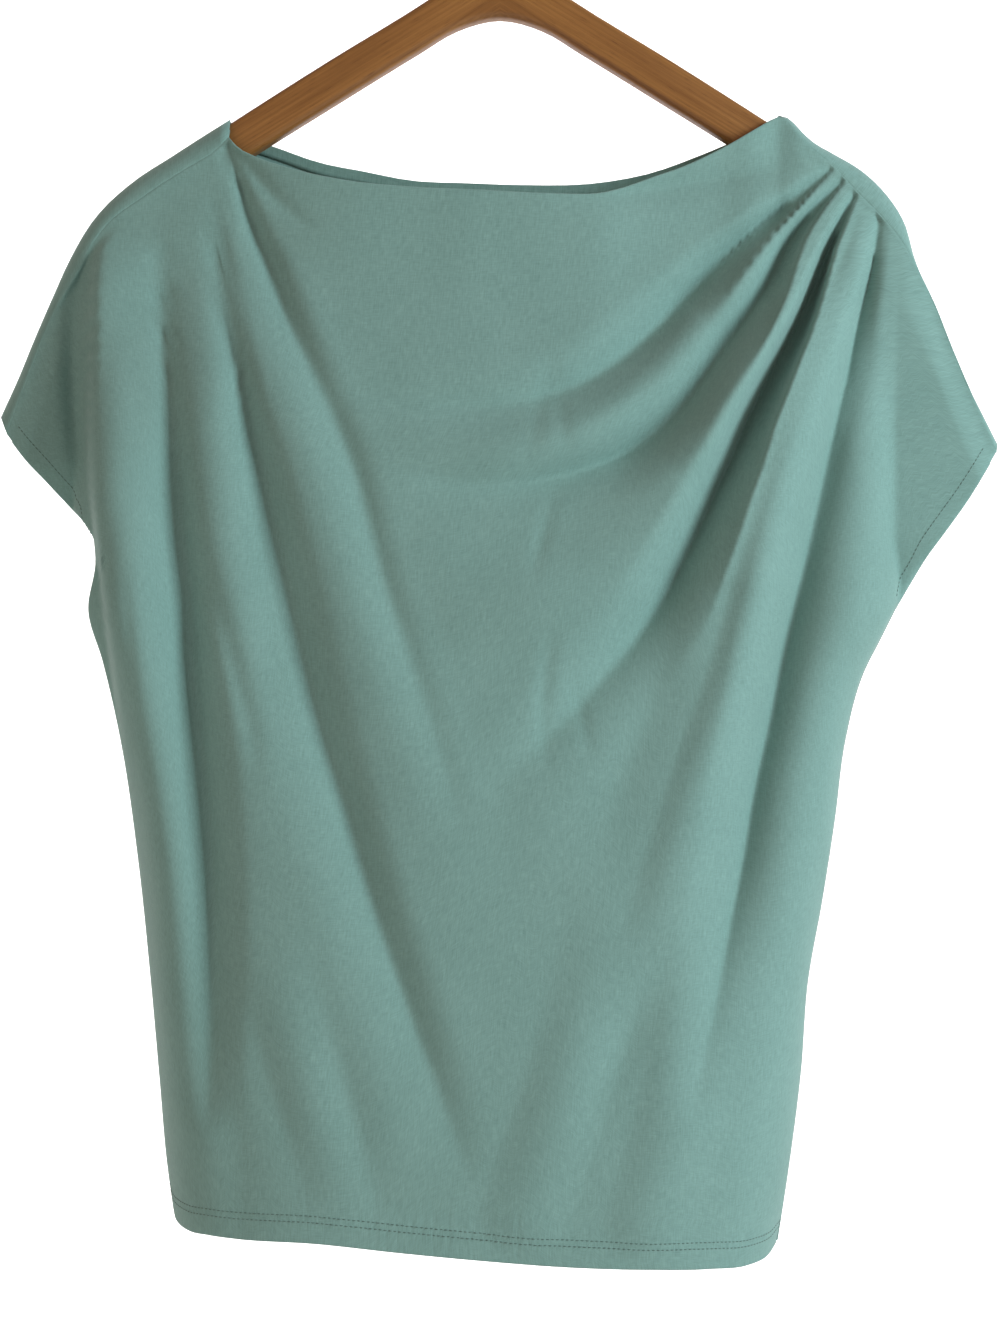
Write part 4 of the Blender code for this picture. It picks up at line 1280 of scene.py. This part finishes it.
half = WOOD_TOP + WOOD_END + WOOD_UNDER
outline = half + ((0, WOOD_APEX_UNDER),) + tuple((-across, down) for across, down in reversed(half))
outline = smooth_line(outline + outline[:1], per_span=4)[:-1]
sawn_edge = [(across * MM, -WOOD_HALF * MM, (DROP_LEVEL - down) * MM)
             for across, down in outline]
arms = new_piece("beech_arms", sawn_edge, [tuple(range(len(sawn_edge)))[::-1]], beech)
select_only(arms)
bpy.ops.object.mode_set(mode="EDIT")
bpy.ops.mesh.select_all(action="SELECT")
bpy.ops.mesh.extrude_region_move(TRANSFORM_OT_translate={"value": (0, 2 * WOOD_HALF * MM, 0)})
bpy.ops.object.mode_set(mode="OBJECT")
face_outward(arms)
bevel = arms.modifiers.new("rounded_over", "BEVEL")
bevel.width = WOOD_ROUND * MM
bevel.segments = ROUND_SEGMENTS
bevel.limit_method = "ANGLE"
bevel.angle_limit = math.radians(SHARP_FROM)
apply_modifiers(arms)
bpy.ops.object.shade_smooth_by_angle(angle=math.radians(SMOOTH_TO))

# %% [markdown]
# ## The hook
#
# The hook is one piece of polished wire, screwed into the wood. It is bent in a large
# circle whose inner top is the origin, where it rests on its rail. A spin could make each
# bend. Here the wire's middle line is drawn first, a shank and two bends that meet without
# a kink, and a ring is set square to it at each point. One function then makes the
# straight part, both bends and the rounded tip.

# %% Bend the hook
WIRE = 3.5
HOOK_RADIUS = 20.75
HOOK_CENTRE = -19.0
TIP_ANGLE = 205
TURN_RADIUS = 12.0
SHANK_SUNK = 6.0
SHANK_POINTS, TURN_POINTS, CROOK_POINTS, TIP_POINTS = 8, 12, 72, 6
TIP_BLUNT = 0.01


def bend(centre, radius, start, end, steps):
    """Points round a bend, without its first one."""
    angles = np.linspace(start, end, steps)[1:]
    return np.array(centre) + radius * np.stack([np.cos(angles), np.sin(angles)], axis=1)


def hook_line():
    """The middle line of the wire, from the wood up and round to its tip."""
    seat = DROP_LEVEL - WOOD_TOP[0][1] - SHANK_SUNK
    turn_height = HOOK_CENTRE - math.sqrt((TURN_RADIUS + HOOK_RADIUS) ** 2 - TURN_RADIUS**2)
    rise = HOOK_CENTRE - turn_height
    shank_heights = np.linspace(seat, turn_height, SHANK_POINTS)
    shank = np.stack([np.zeros(SHANK_POINTS), shank_heights], axis=1)
    turn = bend((TURN_RADIUS, turn_height), TURN_RADIUS, math.pi,
                math.atan2(rise, -TURN_RADIUS), TURN_POINTS)
    crook = bend((0, HOOK_CENTRE), HOOK_RADIUS, math.atan2(-rise, TURN_RADIUS),
                 math.radians(TIP_ANGLE), CROOK_POINTS)
    return np.vstack([shank, turn, crook])


def round_bar(name, line, radii, material, sides=24):
    """A round bar along a line in the XZ plane, closed at both ends."""
    run = unit(np.gradient(line, axis=0))
    points = []
    for (x, z), (ahead, up), radius in zip(line, run, radii):
        for angle in 2 * math.pi * np.arange(sides) / sides:
            shift, depth = radius * math.cos(angle), radius * math.sin(angle)
            points.append(((x - up * shift) * MM, depth * MM, (z + ahead * shift) * MM))
    bar = new_piece(name, points, tube_faces(len(line), sides), material)
    face_outward(bar)
    return bar


steel, steel_shader, steel_place = new_finish("polished_steel", Metallic=1.0,
                                              Base_Color=(0.62, 0.62, 0.63, 1))
brushed = steel_place.stretched(300.0, 300.0, 4000.0).grain(detail=2.0)
feed(steel_shader, Roughness=brushed * 0.15 + 0.12, Normal=relief(brushed, 0.00005, 0.2))
middle_line = hook_line()
tip = np.linspace(0, 1, TIP_POINTS)
tip_line = middle_line[-1] + np.outer(tip * WIRE / 2, unit(middle_line[-1] - middle_line[-2]))
hook_radii = np.concatenate([np.full(len(middle_line), WIRE / 2),
                             WIRE / 2 * np.sqrt(np.clip(1 - tip[1:] ** 2, TIP_BLUNT, 1))])
hook = round_bar("wire_hook", np.vstack([middle_line, tip_line[1:]]), hook_radii, steel)
print("hook spans", np.round(np.ptp(middle_line, axis=0), 1), "mm")

# %% [markdown]
# ## Floor and light
#
# The garment hangs before a pale sweep that glows a little, as a white wall does in
# daylight. The main light is a small cool window, close by at the right and a little above,
# so every fold has a lit right slope and a shaded left one with a clear edge. A weak warm
# light from the room at the left keeps the shaded slopes from going black, and a faint
# glow from the floor lifts the lowest folds. A fourth light washes the wall alone.

# %% Build the stage
FLOOR = -1.3
FLOOR_FRONT = -5.0
WALL = 2.7
WALL_TOP = 4.0
SWEEP = 0.9
SWEEP_STEPS = 24
HALF_WIDTH = 7.0
GLOW_FROM = 0.9
sweep_line = [(GLOW_FROM, FLOOR), (WALL - SWEEP, FLOOR)]
for angle in math.pi / 2 * np.arange(1, SWEEP_STEPS + 1) / SWEEP_STEPS:
    sweep_line.append((WALL - SWEEP + SWEEP * math.sin(angle),
                       FLOOR + SWEEP * (1 - math.cos(angle))))
sweep_line.append((WALL, WALL_TOP))
paper = new_finish("pale_paper", Roughness=0.9, Base_Color=(0.82, 0.82, 0.82, 1),
                   Emission_Color=(1.0, 1.0, 1.0, 1), Emission_Strength=0.55)[0]
sweep_points = [(x, y, z) for y, z in sweep_line for x in (-HALF_WIDTH, HALF_WIDTH)]
strips = [(corner, corner + 1, corner + 3, corner + 2)
          for corner in range(0, len(sweep_points) - 2, 2)]
sweep = new_piece("pale_sweep", sweep_points, strips, paper)
bpy.ops.mesh.primitive_plane_add(size=1, location=(0, (GLOW_FROM + FLOOR_FRONT) / 2, FLOOR))
floor = bpy.context.object
floor.name = "pale_floor"
floor.scale = (2 * HALF_WIDTH, GLOW_FROM - FLOOR_FRONT, 1)
bpy.ops.object.transform_apply(location=True, scale=True)
board = new_finish("pale_board", Roughness=0.9, Base_Color=(0.72, 0.71, 0.69, 1))[0]
floor.data.materials.append(board)
print("the sweep has", len(strips), "strips")

# %% Set the lights
SOFT_LIGHTS = (
    ("window", (1.6, -0.9, 0.1), (0, 0, -0.45), 0.62, 35.5, (0.80, 0.92, 0.99)),
    ("room", (-1.8, -1.6, -0.3), (0, 0, -0.5), 1.6, 8, (1.0, 0.88, 0.76)),
    ("floor_glow", (0.1, -0.9, -1.25), (0, 0, -0.8), 0.8, 1.4, (0.84, 0.94, 1.0)),
    ("wall_wash", (0, 1.2, 1.2), (0, 2.7, -0.3), 2.2, 60, (1.0, 1.0, 1.0)),
)
for name, lamp_at, aim, size, power, colour in SOFT_LIGHTS:
    bpy.ops.object.light_add(type="AREA", location=lamp_at)
    lamp = bpy.context.object
    lamp.name = name
    lamp.rotation_euler = (Vector(aim) - Vector(lamp_at)).to_track_quat("-Z", "Y").to_euler()
    lamp.data.shape = "SQUARE"
    lamp.data.size = size
    lamp.data.energy = power
    lamp.data.color = colour
world = bpy.data.worlds.new("pale_room")
bpy.context.scene.world = world
world.use_nodes = True
background = world.node_tree.nodes["Background"]
background.inputs["Color"].default_value = (1.0, 0.74, 0.68, 1)
background.inputs["Strength"].default_value = 0.34
bpy.context.scene.view_settings.view_transform = "Standard"
print(len(SOFT_LIGHTS), "lights are up")

# %% [markdown]
# ## Tie the pieces to the imported model
#
# Every piece rides on the one body. The cloth, the wood and the wire stand for their
# imported nodes, which are hidden, and the stitches only go along. The cloth, the wood and
# the wire stand for their imported nodes, which keep the collisions, and the stitches only
# go along. Each sheet also says how large it was cut, so that nobody has to guess how much
# cloth the folds take up. The cut is measured on the finished cloth itself.

# %% Tie the pieces to the imported model
BACK_FLAP = 14.0
CUT_LEVELS = 60
for piece, node, slot in (
    (front, "front_panel", "jersey"), (back, "back_panel", "jersey"),
    (binding, "back_neck_binding", "binding"),
    (arms, "hanger_wood", "beech"), (hook, "hanger_hook", "steel"),
):
    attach(piece, "root")
    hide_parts(node)
for row in stitch_rows["front"] + stitch_rows["back"]:
    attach(row, "root")


def level_length(points, level):
    """Length of the cloth along one height, through all its folds."""
    crossings = []
    for column in np.moveaxis(points, 1, 0):
        below = np.nonzero((column[:-1, 2] >= level) & (column[1:, 2] < level))[0]
        if len(below):
            start, end = column[below[0]], column[below[0] + 1]
            crossings.append(start + (end - start) * (level - start[2]) / (end[2] - start[2]))
    return running_length(crossings)[-1] if len(crossings) > 1 else 0.0


def print_cut(piece, points, allowance):
    """Prints a sheet's longest level and longest upright line, with its turn-ins, and its area."""
    levels = np.linspace(points[..., 2].min(), points[..., 2].max(), CUT_LEVELS)[1:-1]
    width = max(level_length(points, level) for level in levels)
    length = running_length(points)[-1].max() + allowance * MM
    area = sum(face.area for face in piece.data.polygons) / 2
    print(piece.name, "was cut", round(width, 3), "by", round(length, 3), "m, area", round(area, 4))


print_cut(front, front_points, NECK_FOLD + HEM_DEPTH)
print_cut(back, back_points, SEAM_ALLOWANCE + BACK_FLAP + HEM_DEPTH)
print_cut(binding, on_its_side(binding_net, False), 0)
